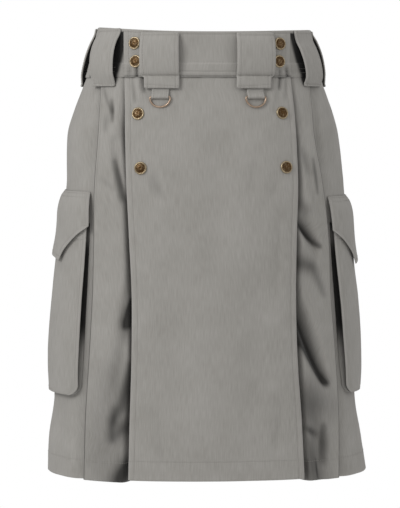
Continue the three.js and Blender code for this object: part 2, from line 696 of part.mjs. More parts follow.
// A pocket's face, which stands off the panel, with rounded lower corners and an open mouth behind its top.
function pocketFace(pocket) {
  const levels = [...LOWER_LEVELS.filter((z) => z > POCKET_ROUNDED[0]), ...POCKET_ROUNDED];
  const grid = levels.map((z) => {
    const below = POCKET_CORNER - Math.min(z - POCKET_BOTTOM, POCKET_CORNER);
    const half = POCKET_HALF_WIDTH - POCKET_CORNER + Math.sqrt(POCKET_CORNER ** 2 - below ** 2);
    return POCKET_PLACES.map((share) => {
      const place = Math.abs(share) === 1 ? share * half : share * POCKET_HALF_WIDTH;
      const out = pocketThickness(place / POCKET_HALF_WIDTH, z) - POCKET_WALL / 2;
      return overSidePanel(pocket, place, z, CLOTH / 2 + POCKET_GAP + out);
    });
  });
  return mesh(`pocket_face_${pocket.name}`, sheet(grid, POCKET_WALL), COLOURS.cloth);
}

// A pocket's edge down one side and round to the middle of its bottom, with the direction inwards.
function pocketEdge() {
  const straight = LOWER_LEVELS.filter((z) => z > POCKET_ROUNDED[0]);
  const down = straight.map((z) => ({ place: POCKET_HALF_WIDTH, z, turn: 0 }));
  const round = POCKET_ROUNDED.map((z) => {
    const turn = Math.asin(1 - (z - POCKET_BOTTOM) / POCKET_CORNER);
    return { place: POCKET_HALF_WIDTH - POCKET_CORNER * (1 - Math.cos(turn)), z, turn };
  });
  const floor = POCKET_PLACES.filter((share) => share >= 0 && share < 1)
    .toReversed()
    .map((share) => ({ place: share * POCKET_HALF_WIDTH, z: POCKET_BOTTOM, turn: Math.PI / 2 }));
  return [...down, ...round, ...floor];
}

// The strip between the panel and the pocket's face, folded inwards along its middle.
function pocketGusset(pocket) {
  const half = pocketEdge().map((at) => ({ ...at, inwards: -Math.cos(at.turn) }));
  const other = half.slice(0, -1).map((at) => ({ ...at, place: -at.place, inwards: -at.inwards }));
  const grid = [...half, ...other.toReversed()].map(({ place, z, turn, inwards }) => {
    const deep = pocketThickness(place / POCKET_HALF_WIDTH, z) - POCKET_WALL - SEAM_GAP;
    const tuck = POCKET_GUSSET * pocketThickness(1, z);
    const slant = Math.atan2(deep / 2, tuck);
    const edge = (POCKET_WALL / 2) * Math.sin(slant);
    const lift = (POCKET_WALL / 2) * Math.cos(slant);
    const columns = [
      { move: edge, out: lift },
      { move: edge + tuck, out: deep / 2 },
      { move: edge, out: deep - lift },
    ];
    return columns.map(({ move, out }) => {
      const height = z + move * Math.sin(turn);
      return overSidePanel(pocket, place + move * inwards, height, CLOTH / 2 + POCKET_GAP + out);
    });
  });
  return mesh(`pocket_gusset_${pocket.name}`, sheet(grid, POCKET_WALL), COLOURS.cloth);
}

// A pointed flap that is sewn above the pocket's mouth and hangs over its face.
function pocketFlap(pocket) {
  const start = CLOTH / 2 + FLAP_GAP + FLAP_CLOTH / 2;
  const fixed = FLAP_PROFILE.at(-1).drop;
  const front = FLAP_LENGTHS.slice(1).toReversed();
  const columns = [...front.map((at) => ({ ...at, share: -at.share })), ...FLAP_LENGTHS];
  const grid = FLAP_PROFILE.map((row) =>
    columns.map(({ share, length }) => {
      const z = FLAP_TOP[pocket.name] - row.drop - row.share * (length - fixed);
      const half = POCKET_HALF_WIDTH + (Math.abs(share) === 1 ? FLAP_OVERHANG * row.stand : 0);
      const over = pocketThickness(share, z) + FLAP_STAND + FLAP_TIP_LIFT * row.share ** 2;
      return overSidePanel(pocket, share * half, z, start + over * row.stand);
    }),
  );
  return mesh(`pocket_flap_${pocket.name}`, sheet(grid, FLAP_CLOTH, false), COLOURS.cloth);
}

// The D-ring's wire line in its own plane: a straight bar at the top and a bow below.
function ringLine() {
  const straight = RING_HALF_WIDTH - RING_CORNER;
  const line = [-1, 0, 1].map((share) => new THREE.Vector3(share * straight, 0, 0));
  const turn = Math.PI / 4;
  line.push(
    new THREE.Vector3(
      straight + RING_CORNER * Math.sin(turn),
      -RING_CORNER * (1 - Math.cos(turn)),
      0,
    ),
  );
  for (let k = 0; k <= RING_ARC_STEPS; k++) {
    const angle = (Math.PI * k) / RING_ARC_STEPS;
    const depth = RING_CORNER + (RING_DEPTH - RING_CORNER) * Math.sin(angle);
    line.push(new THREE.Vector3(RING_HALF_WIDTH * Math.cos(angle), -depth, 0));
  }
  line.push(line[3].clone().setX(-line[3].x));
  return line;
}

function ringGeometry() {
  const line = ringLine();
  const out = new THREE.Vector3(0, 0, 1);
  const count = line.length;
  const points = line.flatMap((p, k) => {
    const before = line[(k + count - 1) % count];
    const after = line[(k + 1) % count];
    const ahead = new THREE.Vector3().subVectors(after, before).normalize();
    const aside = new THREE.Vector3().crossVectors(ahead, out);
    return spread(0, RING_SIDES - 1, RING_SIDES).map((n) => {
      const angle = (2 * Math.PI * n) / RING_SIDES;
      return p
        .clone()
        .addScaledVector(aside, RING_WIRE * Math.cos(angle))
        .addScaledVector(out, RING_WIRE * Math.sin(angle));
    });
  });
  const at = (k, n) => (k % count) * RING_SIDES + (n % RING_SIDES);
  const triangles = line.flatMap((_, k) =>
    spread(0, RING_SIDES - 1, RING_SIDES).flatMap((n) =>
      quad(at(k, n), at(k + 1, n), at(k + 1, n + 1), at(k, n + 1)),
    ),
  );
  return body(points, triangles);
}

// The cloth tab: down from under the loop's tail, round the ring's bar and up again behind it.
function tabGeometry() {
  const turn = RING_WIRE + TAB_CLEARANCE + TAB_CLOTH / 2;
  const layer = (TAB_CLOTH + SEAM_GAP) / 2;
  const top = TAB_TOP - BAR_HEIGHT;
  const closes = turn * 2.2;
  const backing = turn - layer; // the two layers lie together against the apron above the bar
  const down = [
    { y: top, z: layer - backing },
    { y: closes + 5, z: layer - backing },
    { y: closes, z: layer - backing * 0.8 },
    { y: turn * 0.9, z: turn * 0.82 },
  ];
  const round = [0, 0.2, 0.4, 0.6, 0.8, 1].map((share) => ({
    y: -turn * Math.sin(Math.PI * share),
    z: turn * Math.cos(Math.PI * share),
  }));
  const up = [
    { y: closes, z: -layer - backing },
    { y: closes + 5, z: -layer - backing },
    { y: top, z: -layer - backing },
  ];
  const grid = [...down, ...round, ...up].map(({ y, z }) =>
    [-0.5, 0.5].map((share) => new THREE.Vector3(share * TAB_WIDTH, y, z)),
  );
  return sheet(grid, TAB_CLOTH, false);
}

// A tab with its D-ring, in a group that stands at the ring's bar.
function hanger(side, name) {
  const group = new THREE.Group();
  const place = frontPlace(side * FRONT_LOOP.x, BAR_HEIGHT);
  group.position.copy(place.origin);
  group.quaternion.setFromRotationMatrix(place.turn);
  group.translateZ(SEAM_GAP + TAB_CLOTH + TAB_CLEARANCE + RING_WIRE);
  const ring = mesh(`d_ring_${name}`, ringGeometry(), COLOURS.ring, 1);
  ring.rotation.x = -RING_REST_TILT;
  group.add(ring, mesh(`d_ring_tab_${name}`, tabGeometry(), COLOURS.cloth));
  return group;
}

const kilt = new THREE.Group();
kilt.add(waistband(), apronWaistband(), apron(), underApron());
for (const [side, name] of [
  [-1, "left"],
  [1, "right"],
]) {
  kilt.add(frontPanel(side, name), backPanel(side, name), frontLoop(side, name));
  kilt.add(hanger(side, name));
}
for (const loop of LOOPS) kilt.add(otherLoop(loop));
for (const one of SNAPS) kilt.add(snap(one));
for (const pocket of POCKETS) kilt.add(pocketFace(pocket), pocketGusset(pocket), pocketFlap(pocket));
export default kilt;
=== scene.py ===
"""A worn utility kilt in a white studio: twill panels, pleats, loops and pockets, with snaps and D-rings."""

import json
import math
from types import SimpleNamespace

import bpy
import numpy as np
from bpy.props import FloatProperty, FloatVectorProperty, PointerProperty
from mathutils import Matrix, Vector


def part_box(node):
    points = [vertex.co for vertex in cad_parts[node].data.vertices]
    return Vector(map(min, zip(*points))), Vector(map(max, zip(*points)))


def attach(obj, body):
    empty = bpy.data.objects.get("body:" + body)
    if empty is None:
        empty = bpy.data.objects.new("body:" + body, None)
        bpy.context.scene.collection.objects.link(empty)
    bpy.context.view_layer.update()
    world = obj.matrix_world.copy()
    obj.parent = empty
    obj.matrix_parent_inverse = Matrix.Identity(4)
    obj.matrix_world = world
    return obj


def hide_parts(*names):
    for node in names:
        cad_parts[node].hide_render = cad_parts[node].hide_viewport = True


bl_info = {
    "name": "Utility kilt",
    "version": (1, 0, 0),
    "blender": (4, 5, 0),
    "location": "3D View > Sidebar > Kilt",
    "description": "Builds a worn cotton twill utility kilt with brass snaps and D-rings, and its studio",
    "category": "Object",
}

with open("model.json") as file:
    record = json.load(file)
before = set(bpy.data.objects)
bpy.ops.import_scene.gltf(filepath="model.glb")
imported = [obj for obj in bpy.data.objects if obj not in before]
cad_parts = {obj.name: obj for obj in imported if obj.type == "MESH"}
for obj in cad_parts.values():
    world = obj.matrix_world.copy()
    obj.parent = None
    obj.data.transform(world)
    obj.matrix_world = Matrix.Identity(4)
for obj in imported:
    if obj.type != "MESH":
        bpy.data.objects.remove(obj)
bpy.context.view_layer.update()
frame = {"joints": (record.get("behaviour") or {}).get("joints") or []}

MM = 0.001
LEFT, RIGHT = -1, 1  # as the viewer of the front sees them
SIDES = ((LEFT, "left"), (RIGHT, "right"))


def linear(code):
    """An sRGB hex colour as linear red, green, blue and alpha."""
    parts = [int(code[k : k + 2], 16) / 255 for k in (0, 2, 4)]
    return (*(c / 12.92 if c <= 0.04045 else ((c + 0.055) / 1.055) ** 2.4 for c in parts), 1.0)


def table(columns, rows):
    """A short table, as one array for each named column."""
    return dict(zip(columns.split(), np.array(rows, float).T))


# The sizes are in millimetres, with +Z up, the front towards -Y and the origin in the middle of the waist.
WAIST_TOP, WAIST_BOTTOM, HEM = 30.5, -30.5, -579.5
SIDE_RISE = {LEFT: 8, RIGHT: 4.5}  # the waist's top edge dips at the front
BACK_RISE = 3
SQUARENESS = 2.3  # of the sections: 2 is an ellipse, and more is boxier
SEAM_GAP = 0.3
SIDE_SEAM, SIDE_SEAM_GAP = 128, 0.06  # degrees round from the front, and half the gap at the seam

# Half sizes of the filled-out garment at each height: left, right, front and back of its middle.
FIGURE = table(
    "z left right front back",
    [
        (38, 149, 149, 112, 112),
        (-30, 165, 164, 119, 124),
        (-75, 182, 180, 127, 140),
        (-110, 192, 189, 133, 152),
        (-178, 194, 197, 141, 166),
        (-330, 201, 203, 149, 172),
        (-485, 213, 214, 156, 178),
        (-535, 220, 222, 159, 181),
        (-584, 222, 230, 161, 184),
    ],
)
# The apron's two edges and the two front pleats' folded edges, as X on the front at each height.
FRONT_EDGES = table(
    "z apron_left apron_right fold_left fold_right",
    [
        (38, -112.5, 113, -140, 139),
        (-30, -112, 113, -144, 142),
        (-75, -111, 117, -147, 145),
        (-110, -111, 119, -149, 147),
        (-180, -109, 121, -154, 159),
        (-250, -105.5, 118.5, -155, 167),
        (-330, -102, 117, -157, 170),
        (-420, -102.5, 119, -162, 177),
        (-500, -105, 124, -167, 181),
        (-584, -107, 128, -169, 180),
    ],
)
# How far the layers stand from the figure: the apron, the folds of a front and a back pleat, the pitch
# between a pleat's layers, and the depth of the recess beside the apron.
LAYERS = table(
    "z apron front_fold back_fold pitch recess",
    [
        (-30, 2.8, 0.8, 0.8, 2.2, 2.6),
        (-75, 4, 1.4, 1.2, 2.6, 7),
        (-110, 4.6, 2, 1.6, 3, 12),
        (-180, 5.4, 2.4, 2, 3.2, 22),
        (-330, 7, 2.8, 3, 3.6, 36),
        (-485, 8, 3.4, 4.6, 4.4, 41),
        (-584, 8.5, 4.4, 6.5, 5.2, 38),
    ],
)
# Soft troughs in the front pleats, by the distance from the apron's edge at each end. A negative depth is
# a ridge.
PLEAT_TROUGHS = table(
    "side z1 a1 z2 a2 width depth",
    [
        (LEFT, -120, 16, -205, 4, 11, 6),
        (LEFT, -365, 6, -470, 26, 13, 9),
        (LEFT, -500, 30, -530, 8, 10, -5),
        (RIGHT, -120, 24, -185, 34, 9, 6),
        (RIGHT, -215, 4, -275, 38, 11, 10),
        (RIGHT, -345, 2, -445, 44, 13, 13),
        (RIGHT, -490, 28, -575, 30, 10, 8),
    ],
)
# The fine creases that the broad troughs carry, on the same terms.
PLEAT_CREASES = table(
    "side z1 a1 z2 a2 width depth",
    [
        (LEFT, -46, 36, -78, 22, 4, 2.4),
        (LEFT, -60, 22, -92, 19, 3.5, 3.4),
        (LEFT, -72, 14, -112, 18, 5, -1.4),
        (LEFT, -146, 18, -196, 8, 4, 4),
        (LEFT, -130, 26, -190, 17, 6, -1.6),
        (LEFT, -168, 40, -186, 22, 5, 1.2),
        (LEFT, -204, 38, -232, 10, 9, 1.2),
        (LEFT, -300, 3, -368, 16, 6, 5),
        (LEFT, -330, 40, -352, 20, 8, -1.8),
        (LEFT, -376, 2, -400, 8, 7, -3.5),
        (LEFT, -414, 3, -488, 12, 6, 5),
        (LEFT, -420, 42, -470, 26, 9, -1.6),
        (LEFT, -488, 24, -528, 28, 8, 3.4),
        (LEFT, -502, 2, -514, 20, 6, 2),
        (LEFT, -530, 12, -572, 18, 6, 2),
        (RIGHT, -78, 8, -110, 12, 4, 1.6),
        (RIGHT, -132, 12, -161, 22, 6, 2),
        (RIGHT, -144, 28, -190, 35, 3.5, 4),
        (RIGHT, -170, 14, -214, 24, 7, -2),
        (RIGHT, -226, 4, -266, 42, 5, 5),
        (RIGHT, -246, 4, -280, 34, 6, -2.6),
        (RIGHT, -292, 8, -336, 36, 9, 2),
        (RIGHT, -347, 2, -450, 49, 6, 5.5),
        (RIGHT, -330, 12, -410, 50, 8, -2.6),
        (RIGHT, -400, 4, -450, 24, 8, -2.4),
        (RIGHT, -515, 10, -523, 28, 4, 3),
        (RIGHT, -510, 39, -557, 34, 3.5, 4),
        (RIGHT, -530, 12, -572, 16, 5, 2.2),
    ],
)
# Painted shade in the front pleats where little light reaches, in strokes with a width at each end. Their
# depth is the share of the light that the painted shade takes away.
PLEAT_SHADES = table(
    "side z1 a1 z2 a2 width width2 depth",
    [
        (LEFT, -46, 36, -78, 24, 3, 3, 0.3),
        (LEFT, -64, 23, -90, 21, 3, 3, 0.5),
        (LEFT, -86, 30, -104, 32, 5, 4, 0.25),
        (LEFT, -100, 4, -140, 3, 5, 5, 0.35),
        (LEFT, -146, 20, -198, 10, 3, 5, 0.5),
        (LEFT, -170, 40, -184, 22, 4, 4, 0.12),
        (LEFT, -196, 8, -214, 0, 5, 6, 0.3),
        (LEFT, -298, -5, -366, 4, 3, 8, 2.2),
        (LEFT, -338, 5, -371, 14, 5, 6, 1.1),
        (LEFT, -366, 16, -392, 12, 6, 6, 0.3),
        (LEFT, -400, -3, -480, 2, 8, 12, 0.75),
        (LEFT, -424, 8, -500, 20, 6, 11, 0.42),
        (LEFT, -486, 25, -526, 29, 7, 7, 0.4),
        (LEFT, -496, -4, -524, 22, 8, 8, 0.5),
        (LEFT, -546, -2, -592, 20, 9, 15, 0.85),
        (LEFT, -440, 32, -600, 38, 26, 44, 0.26),
        (RIGHT, -132, 12, -161, 22, 6, 6, 0.25),
        (RIGHT, -144, 28, -190, 35, 3, 3, 0.5),
        (RIGHT, -196, -2, -214, 18, 6, 7, 0.34),
        (RIGHT, -208, -18, -264, 42, 9, 3.5, 1.05),
        (RIGHT, -281, -12, -290, 28, 14, 11, 0.6),
        (RIGHT, -292, 28, -330, 50, 8, 6, 0.4),
        (RIGHT, -322, -24, -452, 49, 17, 6, 1.7),
        (RIGHT, -462, 2, -484, 50, 30, 24, 0.36),
        (RIGHT, -470, 10, -530, 30, 22, 20, 0.35),
        (RIGHT, -512, 10, -522, 28, 5, 6, 0.42),
        (RIGHT, -512, 40, -560, 37, 5, 6, 0.5),
        (RIGHT, -538, 14, -600, 24, 14, 24, 0.62),
        (RIGHT, -556, 9, -582, 8, 2, 2, 0.3),
        (RIGHT, -556, 24, -582, 24, 2, 2, 0.3),
    ],
)
# Broad waves and slight creases in the apron, by X at each end.
APRON_TROUGHS = table(
    "z1 a1 z2 a2 width depth",
    [
        (-130, -42, -560, -48, 22, 2.4),
        (-90, 22, -330, 0, 26, 2.2),
        (-300, 70, -575, 58, 24, 2.6),
    ],
)
APRON_CREASES = table(
    "z1 a1 z2 a2 width depth",
    [
        (-30, -88, -50, -86, 2.8, 4),
        (-34, -94, -62, -91, 4, -2.6),
        (-34, -101, -66, -98, 3.5, 2),
        (-36, -80, -74, -72, 6, 1),
        (-30, 99, -48, 97, 2.8, 3.6),
        (-36, 91, -74, 84, 6, -2),
        (-34, 107, -62, 106, 3.5, 1.6),
        (-70, -60, -210, -76, 12, 1),
        (-96, 66, -200, 52, 14, 1),
        (-60, -70, -150, -64, 10, -0.9),
        (-165, -84, -215, -40, 8, 0.7),
        (-165, 98, -215, 72, 8, 0.9),
        (-210, 96, -330, 90, 7, 1),
        (-120, -84, -140, -50, 8, -0.5),
        (-95, 90, -140, 44, 12, -0.7),
        (-250, -30, -330, 40, 16, -0.7),
        (-345, 40, -440, -20, 14, 0.8),
        (-420, 20, -520, -40, 16, -0.8),
        (-470, 96, -560, 84, 10, 1.1),
        (-500, -70, -570, -62, 9, 1),
    ],
)
# The tucks that the snaps pull into the apron's waistband, by X at each end.
BAND_CREASES = table(
    "z1 a1 z2 a2 width depth",
    [
        (-14, -97, -32, -96.5, 2.4, 3.2),
        (-17, -91, -29, -89, 3, -1),
        (-18, -105, -30, -108, 3, 1.2),
        (-20, 99, -29, 99, 2.4, 1.6),
        (-18, 109, -32, 111, 3, 2.6),
        (6, -88, 0, -60, 4, 0.5),
        (-4, 84, -9, 66, 4, 0.5),
    ],
)
# Creases in the side panels, by the distance from the front pleat's fold. Those in the back pleats go by the
# distance from the side seam.
SIDE_CREASES = table(
    "side z1 a1 z2 a2 width depth",
    [
        (LEFT, -44, 8, -84, 0, 5, 2),
        (LEFT, -48, 14, -92, 24, 5, 2.4),
        (LEFT, -55, 34, -110, 40, 6, 1.4),
        (LEFT, -60, 70, -150, 84, 9, 1.6),
        (LEFT, -58, 120, -140, 112, 9, 1.4),
        (LEFT, -170, 30, -182, 60, 6, 0.8),
        (LEFT, -480, 60, -575, 52, 12, 2.6),
        (LEFT, -482, 130, -575, 142, 14, 2.4),
        (RIGHT, -70, 10, -150, 6, 6, 2.4),
        (RIGHT, -52, 34, -104, 42, 6, 1.4),
        (RIGHT, -58, 76, -160, 88, 9, 1.6),
        (RIGHT, -60, 124, -140, 116, 9, 1.2),
        (RIGHT, -482, 58, -575, 50, 12, 2.4),
        (RIGHT, -484, 134, -575, 140, 14, 2.6),
    ],
)
BACK_CREASES = table(
    "side z1 a1 z2 a2 width depth",
    [
        (LEFT, -50, 26, -120, 40, 8, 1.3),
        (LEFT, -64, 150, -180, 170, 9, 1.2),
        (LEFT, -230, 60, -330, 96, 12, 1.5),
        (LEFT, -420, 190, -520, 210, 12, 1.6),
        (RIGHT, -54, 40, -130, 30, 8, 1.3),
        (RIGHT, -70, 160, -160, 186, 9, 1.2),
        (RIGHT, -250, 110, -350, 70, 12, 1.5),
        (RIGHT, -400, 200, -530, 180, 12, 1.6),
    ],
)

PLEAT_INSIDE = 28  # how far a front pleat reaches in behind the apron
PLEAT_TURN = 5.5  # how quickly it turns back into its recess
PLEAT_RETURN, PLEAT_RETURN_SHARE = 16, 0.36  # the hidden layer under its fold
PLEAT_FLAT = 10  # the soft troughs end this far before the hidden layer
PLEAT_SETTLE, PLEAT_UNDER = 22, 2  # where the side panel rises from under the fold
STRIP_HEM_DROP = 4  # how much lower than the apron it hangs
LAST_BACK_FOLD = 175.5  # degrees
BACK_PLEATS, BACK_RETURN = 5, 12  # how many at each side, and the hidden layer under a fold
UNDER_APRON_GAP, UNDER_APRON_INSET, UNDER_APRON_HEM_RISE = 1.6, 5, 8
WRAP_END, WRAP_GAP = -22, 2.2  # degrees: the waistband's free end behind the apron, and the gap to its start
APRON_WAISTBAND_OUT = 3.1  # how far it stands out from the waistband

LOOP_TOP, LOOP_BOTTOM = WAIST_TOP - 1, -42.5
LOOP_TAIL = -45.5  # where a front loop ends, below the seam that holds it
LOOP_SEAM = -28.5  # the height of that seam
LOOP_HEAD_OUT, LOOP_FOOT_OUT = 3.1, 4.2
LOOP_ROWS = 42
# From a loop's top, from its bottom and below a front loop's seam to the rows of stitching there.
FRONT_LOOP_HEAD_STITCH, LOOP_END_STITCH, FRONT_LOOP_SEAM_STITCH = 4, 3, 3.5
FRONT_LOOP_X, FRONT_LOOP_WIDTH, FRONT_TAIL_INDENT = 64, 50, 4.6
FRONT_LOOP_PROFILE = table(
    "z out",
    [
        (LOOP_TOP, 7.6),
        (26.5, 8.4),
        (18, 12),
        (5, 13.9),
        (-9, 14),
        (-19, 12.8),
        (-25.5, 10.8),
        (-28.5, 7.8),
        (-30.5, 8.8),
        (-33, 9.4),
        (-45.5, 9.2),
    ],
)
# The other loops bow out by this share of their bow at each share of their length, counted down as z.
LOOP_PROFILE = table(
    "z bow",
    [
        (0, 0),
        (-0.06, 0.02),
        (-0.18, 0.55),
        (-0.35, 0.92),
        (-0.55, 1),
        (-0.75, 0.8),
        (-0.89, 0.3),
        (-0.96, 0.02),
        (-1, 0),
    ],
)
# The angles of their four corners, how far they bow, how much further their front edge does, and a skew
# that moves the bow down where it is under 1.
LOOPS = {
    "front_side_left": dict(top=(-49, -75), bottom=(-45, -63), bow=9, lean=3, skew=0.9),
    "front_side_right": dict(top=(50.5, 74), bottom=(50, 68), bow=7, lean=3, skew=0.65),
    "side_left": dict(top=(-90, -110), bottom=(-90, -108), bow=6, lean=0, skew=0.8),
    "side_right": dict(top=(90, 111), bottom=(90, 109), bow=7, lean=0, skew=1),
    "back_left": dict(top=(-139, -161), bottom=(-140, -160), bow=8, lean=0, skew=1),
    "back_right": dict(top=(139, 161), bottom=(140, 160), bow=8, lean=0, skew=1),
}

POCKET_TOP, POCKET_BOTTOM = -232, -470
POCKET_HALF_WIDTH, POCKET_CORNER, POCKET_WALL, POCKET_GAP, POCKET_GUSSET = 92, 14, 1.3, 0.45, 0.7
POCKET_HEM, POCKET_STITCH = 22, 4.5  # from the mouth and from the other edges to their stitching
FACE_CORNER_ROWS = 8
PANEL_FACE = 0.6  # the side panel's outer face, out from its middle
POCKET_MIDDLES = {LEFT: (0, -7), RIGHT: (8, 10)}  # Y of each pocket's middle, at its top and at its bottom
POCKET_THICKNESS = table(
    "z edge middle",
    [
        (POCKET_TOP, 7.5, 9),
        (-285, 9.5, 11),
        (-335, 11.5, 14),
        (-385, 12, 15),
        (-435, 11, 13),
        (POCKET_BOTTOM, 7.5, 8.5),
    ],
)
FLAP_TOP = {LEFT: -189, RIGHT: -196}
FLAP_FIXED, FLAP_STITCH = 46, 5  # its straight upper part, and from its free edges to their stitching
FLAP_SEAMS = 2.5, 8.5  # from its top to its two rows of stitching
FLAP_LOWER_ROWS, FLAP_COLUMNS = 21, 81
# The flap's length at each share of its half width: its lower corners are cut off slanting.
FLAP_LENGTHS = (0, 0.33, 0.55, 0.66, 1), (89, 92, 95, 82, 47)
FLAP_OVERHANG, FLAP_GAP, FLAP_STAND, FLAP_TIP_LIFT = 3, 0.5, 1, 2.5
# How far the flap has risen from its hinge seam to its full stand, at each drop, counted down as z.
FLAP_RISE = table("z stand", [(0, 0), (-2.5, 0.16), (-8, 0.52), (-20, 0.86), (-34, 1), (-100, 1)])

SNAPS = {
    "snap_left_1": (-97.5, 15.5),
    "snap_left_2": (-96.5, -9.5),
    "snap_left_3": (-93.8, -81),
    "snap_left_4": (-90.6, -155),
    "snap_right_1": (97.9, 15),
    "snap_right_2": (97, -9.5),
    "snap_right_3": (100.1, -80),
    "snap_right_4": (104.9, -154),
}
# The snap cap's outline from its edge to its middle, with how far each ring of it is rubbed bright: a rolled
# rim, a groove and a low dome with a small dimple.
SNAP_OUTLINE = table(
    "r h rub",
    [
        (8.3, 0, 1),
        (8.7, 0.5, 1),
        (8.75, 1.2, 1),
        (8.4, 2, 1),
        (7.7, 2.45, 1),
        (7.0, 2.35, 0.6),
        (6.5, 1.85, 0.02),
        (6.0, 1.8, 0.02),
        (5.2, 2.15, 0.08),
        (3.8, 2.6, 0.08),
        (2.4, 2.85, 0.08),
        (1.5, 2.9, 0.08),
        (0.9, 2.7, 0.08),
        (0, 2.6, 0.04),
    ],
)
SNAP_HALF_HEIGHT, SNAP_SIDES = 1.5, 48

RING_WIRE, RING_HALF_WIDTH, RING_CORNER, RING_DEPTH = 1.3, 13.9, 2.2, 14
RING_REST_TILT = -0.11  # radians, so that its lowest point lies against the apron
RING_BAR_Z = -58.5
RING_BAR_POINTS, RING_BOW_POINTS, WIRE_SIDES = 12, 40, 14
TAB_CLOTH, TAB_WIDTH, TAB_CLEARANCE, TAB_TOP, TAB_STITCH = 1, 22.8, 0.4, -34, 2.5


def making_size(name, description, size, least=0.2):
    """A size that a user can change, given in millimetres and kept in metres."""
    return FloatProperty(
        name=name, description=description, default=size * MM, min=least * MM, precision=4, unit="LENGTH"
    )


def finish_colour(name, description, code):
    """A colour that a user can change, given as an sRGB hex value."""
    return FloatVectorProperty(
        name=name, description=description, subtype="COLOR", size=4, min=0, max=1, default=linear(code)
    )


class KiltSizes(bpy.types.PropertyGroup):
    """The making sizes of the cloth and its sewing."""

    cloth: making_size("Cloth", "Thickness of one layer of twill", 1.2)
    apron_cloth: making_size("Apron cloth", "Thickness of the outer wrap", 1.4)
    double_cloth: making_size("Double cloth", "Thickness of the waistbands and belt loops", 2.4)
    flap_cloth: making_size("Flap cloth", "Thickness of the pocket flaps", 1.6)
    hem: making_size("Hem", "Depth of the turned hem", 26, 5)
    edge_fold: making_size("Edge fold", "From the apron's edge to its stitching", 7.5)
    loop_margin: making_size("Loop margin", "From a loop's edge to its stitching", 4.4)
    stitch: making_size("Stitch", "Length of one stitch with its gap", 3.4, 1)
    thread: making_size("Thread", "Width of the sewing thread", 0.6)
    step: making_size("Mesh step", "Spacing of the cloth meshes' points", 2.9, 1)


class KiltColours(bpy.types.PropertyGroup):
    """The finishes' colours."""

    twill: finish_colour("Twill", "The cloth's main colour", "b0ada8")
    twill_dark: finish_colour("Twill shade", "The cloth's darker yarns", "9c9993")
    # Rubbed folds and hems, and the painted highlight along the waistband's fold.
    twill_worn_and_lit: finish_colour("Worn twill", "Rubbed folds and hems", "bbb8b3")
    # Painted shade: the near-black that the shade attribute mixes into the cloth where it would lie in
    # shadow.
    painted_shade: finish_colour("Hollow", "Cloth deep inside folds and loops", "0d0c0a")
    thread: finish_colour("Thread", "The sewing thread", "a9a6a1")
    brass: finish_colour("Brass", "The snaps' rubbed brass", "b2a286")
    patina: finish_colour("Patina", "The snaps' darkened brass", "563f26")
    wire: finish_colour("Ring wire", "The D-rings' brass, where it is bright", "ccb8a6")
    wire_dull: finish_colour("Dull ring wire", "The D-rings' brass, where it is dull", "a88c74")
    paper: finish_colour("Floor", "The studio's white paper", "f4f4f4")
    paper_light: finish_colour("Light floor", "The paper's lighter pulp", "fafafa")


def making_sizes():
    """The sizes that a user can change, in millimetres by name."""
    group = bpy.context.scene.kilt_sizes
    return SimpleNamespace(**{key: getattr(group, key) / MM for key in KiltSizes.__annotations__})


def finish_colours():
    """The colours that a user can change, by name."""
    group = bpy.context.scene.kilt_colours
    return SimpleNamespace(**{key: tuple(getattr(group, key)) for key in KiltColours.__annotations__})


def read(rows, column, z):
    """One column of a table at heights z, on a smooth curve through its rows."""
    heights, values = rows["z"], rows[column]
    last = len(heights) - 1
    z = np.clip(z, heights[last], heights[0])
    i = np.clip(np.searchsorted(-heights, -z, side="right") - 1, 0, last - 1)

    def slope(a, b):
        return (values[b] - values[a]) / (heights[b] - heights[a])

    step = heights[i + 1] - heights[i]
    here = slope(np.maximum(i - 1, 0), i + 1) * step
    ahead = slope(i, np.minimum(i + 2, last)) * step
    t = (z - heights[i]) / step
    cubic = t * t * (3 - 2 * t)
    bend = here * t * (1 - t) ** 2 - ahead * t * t * (1 - t)
    return values[i] + (values[i + 1] - values[i]) * cubic + bend


def lerp(a, b, t):
    return a + (b - a) * t


def smoothstep(x, low, high):
    t = np.clip((x - low) / (high - low), 0, 1)
    return t * t * (3 - 2 * t)


def power(value, exponent):
    return np.sign(value) * np.abs(value) ** exponent


def unit(vectors):
    return vectors / np.maximum(np.linalg.norm(vectors, axis=-1, keepdims=True), 1e-9)


def halves(angle, z):
    """The sine and cosine of an angle round from the front, and the figure's half sizes towards it."""
    s, c = np.sin(np.radians(angle)), np.cos(np.radians(angle))
    across = np.where(s < 0, read(FIGURE, "left", z), read(FIGURE, "right", z))
    deep = np.where(c > 0, read(FIGURE, "front", z), read(FIGURE, "back", z))
    return s, c, across, deep


def outwards(angle, z):
    """The level direction straight out of the figure."""
    s, c, across, deep = halves(angle, z)
    lean = 2 * (SQUARENESS - 1) / SQUARENESS
    x, y = power(s, lean) / across, -power(c, lean) / deep
    return unit(np.stack([x, y, np.zeros_like(x)], -1))


def plan(angle, z, out=0.0):
    """Points on the figure at angles, heights and distances outwards."""
    angle, z, out = np.broadcast_arrays(np.asarray(angle, float), z, out)
    s, c, across, deep = halves(angle, z)
    x, y = across * power(s, 2 / SQUARENESS), -deep * power(c, 2 / SQUARENESS)
    return np.stack([x, y, z + 0 * x], -1) + outwards(angle, z) * out[..., None]


def angle_at_x(x, z):
    half = np.where(x < 0, read(FIGURE, "left", z), read(FIGURE, "right", z))
    return np.degrees(np.arcsin(power(x / half, SQUARENESS / 2)))


def angle_at_y(y, z, side):
    half = np.where(y < 0, read(FIGURE, "front", z), read(FIGURE, "back", z))
    return side * np.degrees(np.arccos(power(-y / half, SQUARENESS / 2)))


def distance_along(start, end, z, steps=24):
    """The distance round the figure from one angle to another."""
    angles = lerp(np.asarray(start)[..., None], np.asarray(end)[..., None], np.linspace(0, 1, steps + 1))
    points = plan(angles, np.asarray(z)[..., None])
    return np.linalg.norm(np.diff(points, axis=-2), axis=-1).sum(-1)


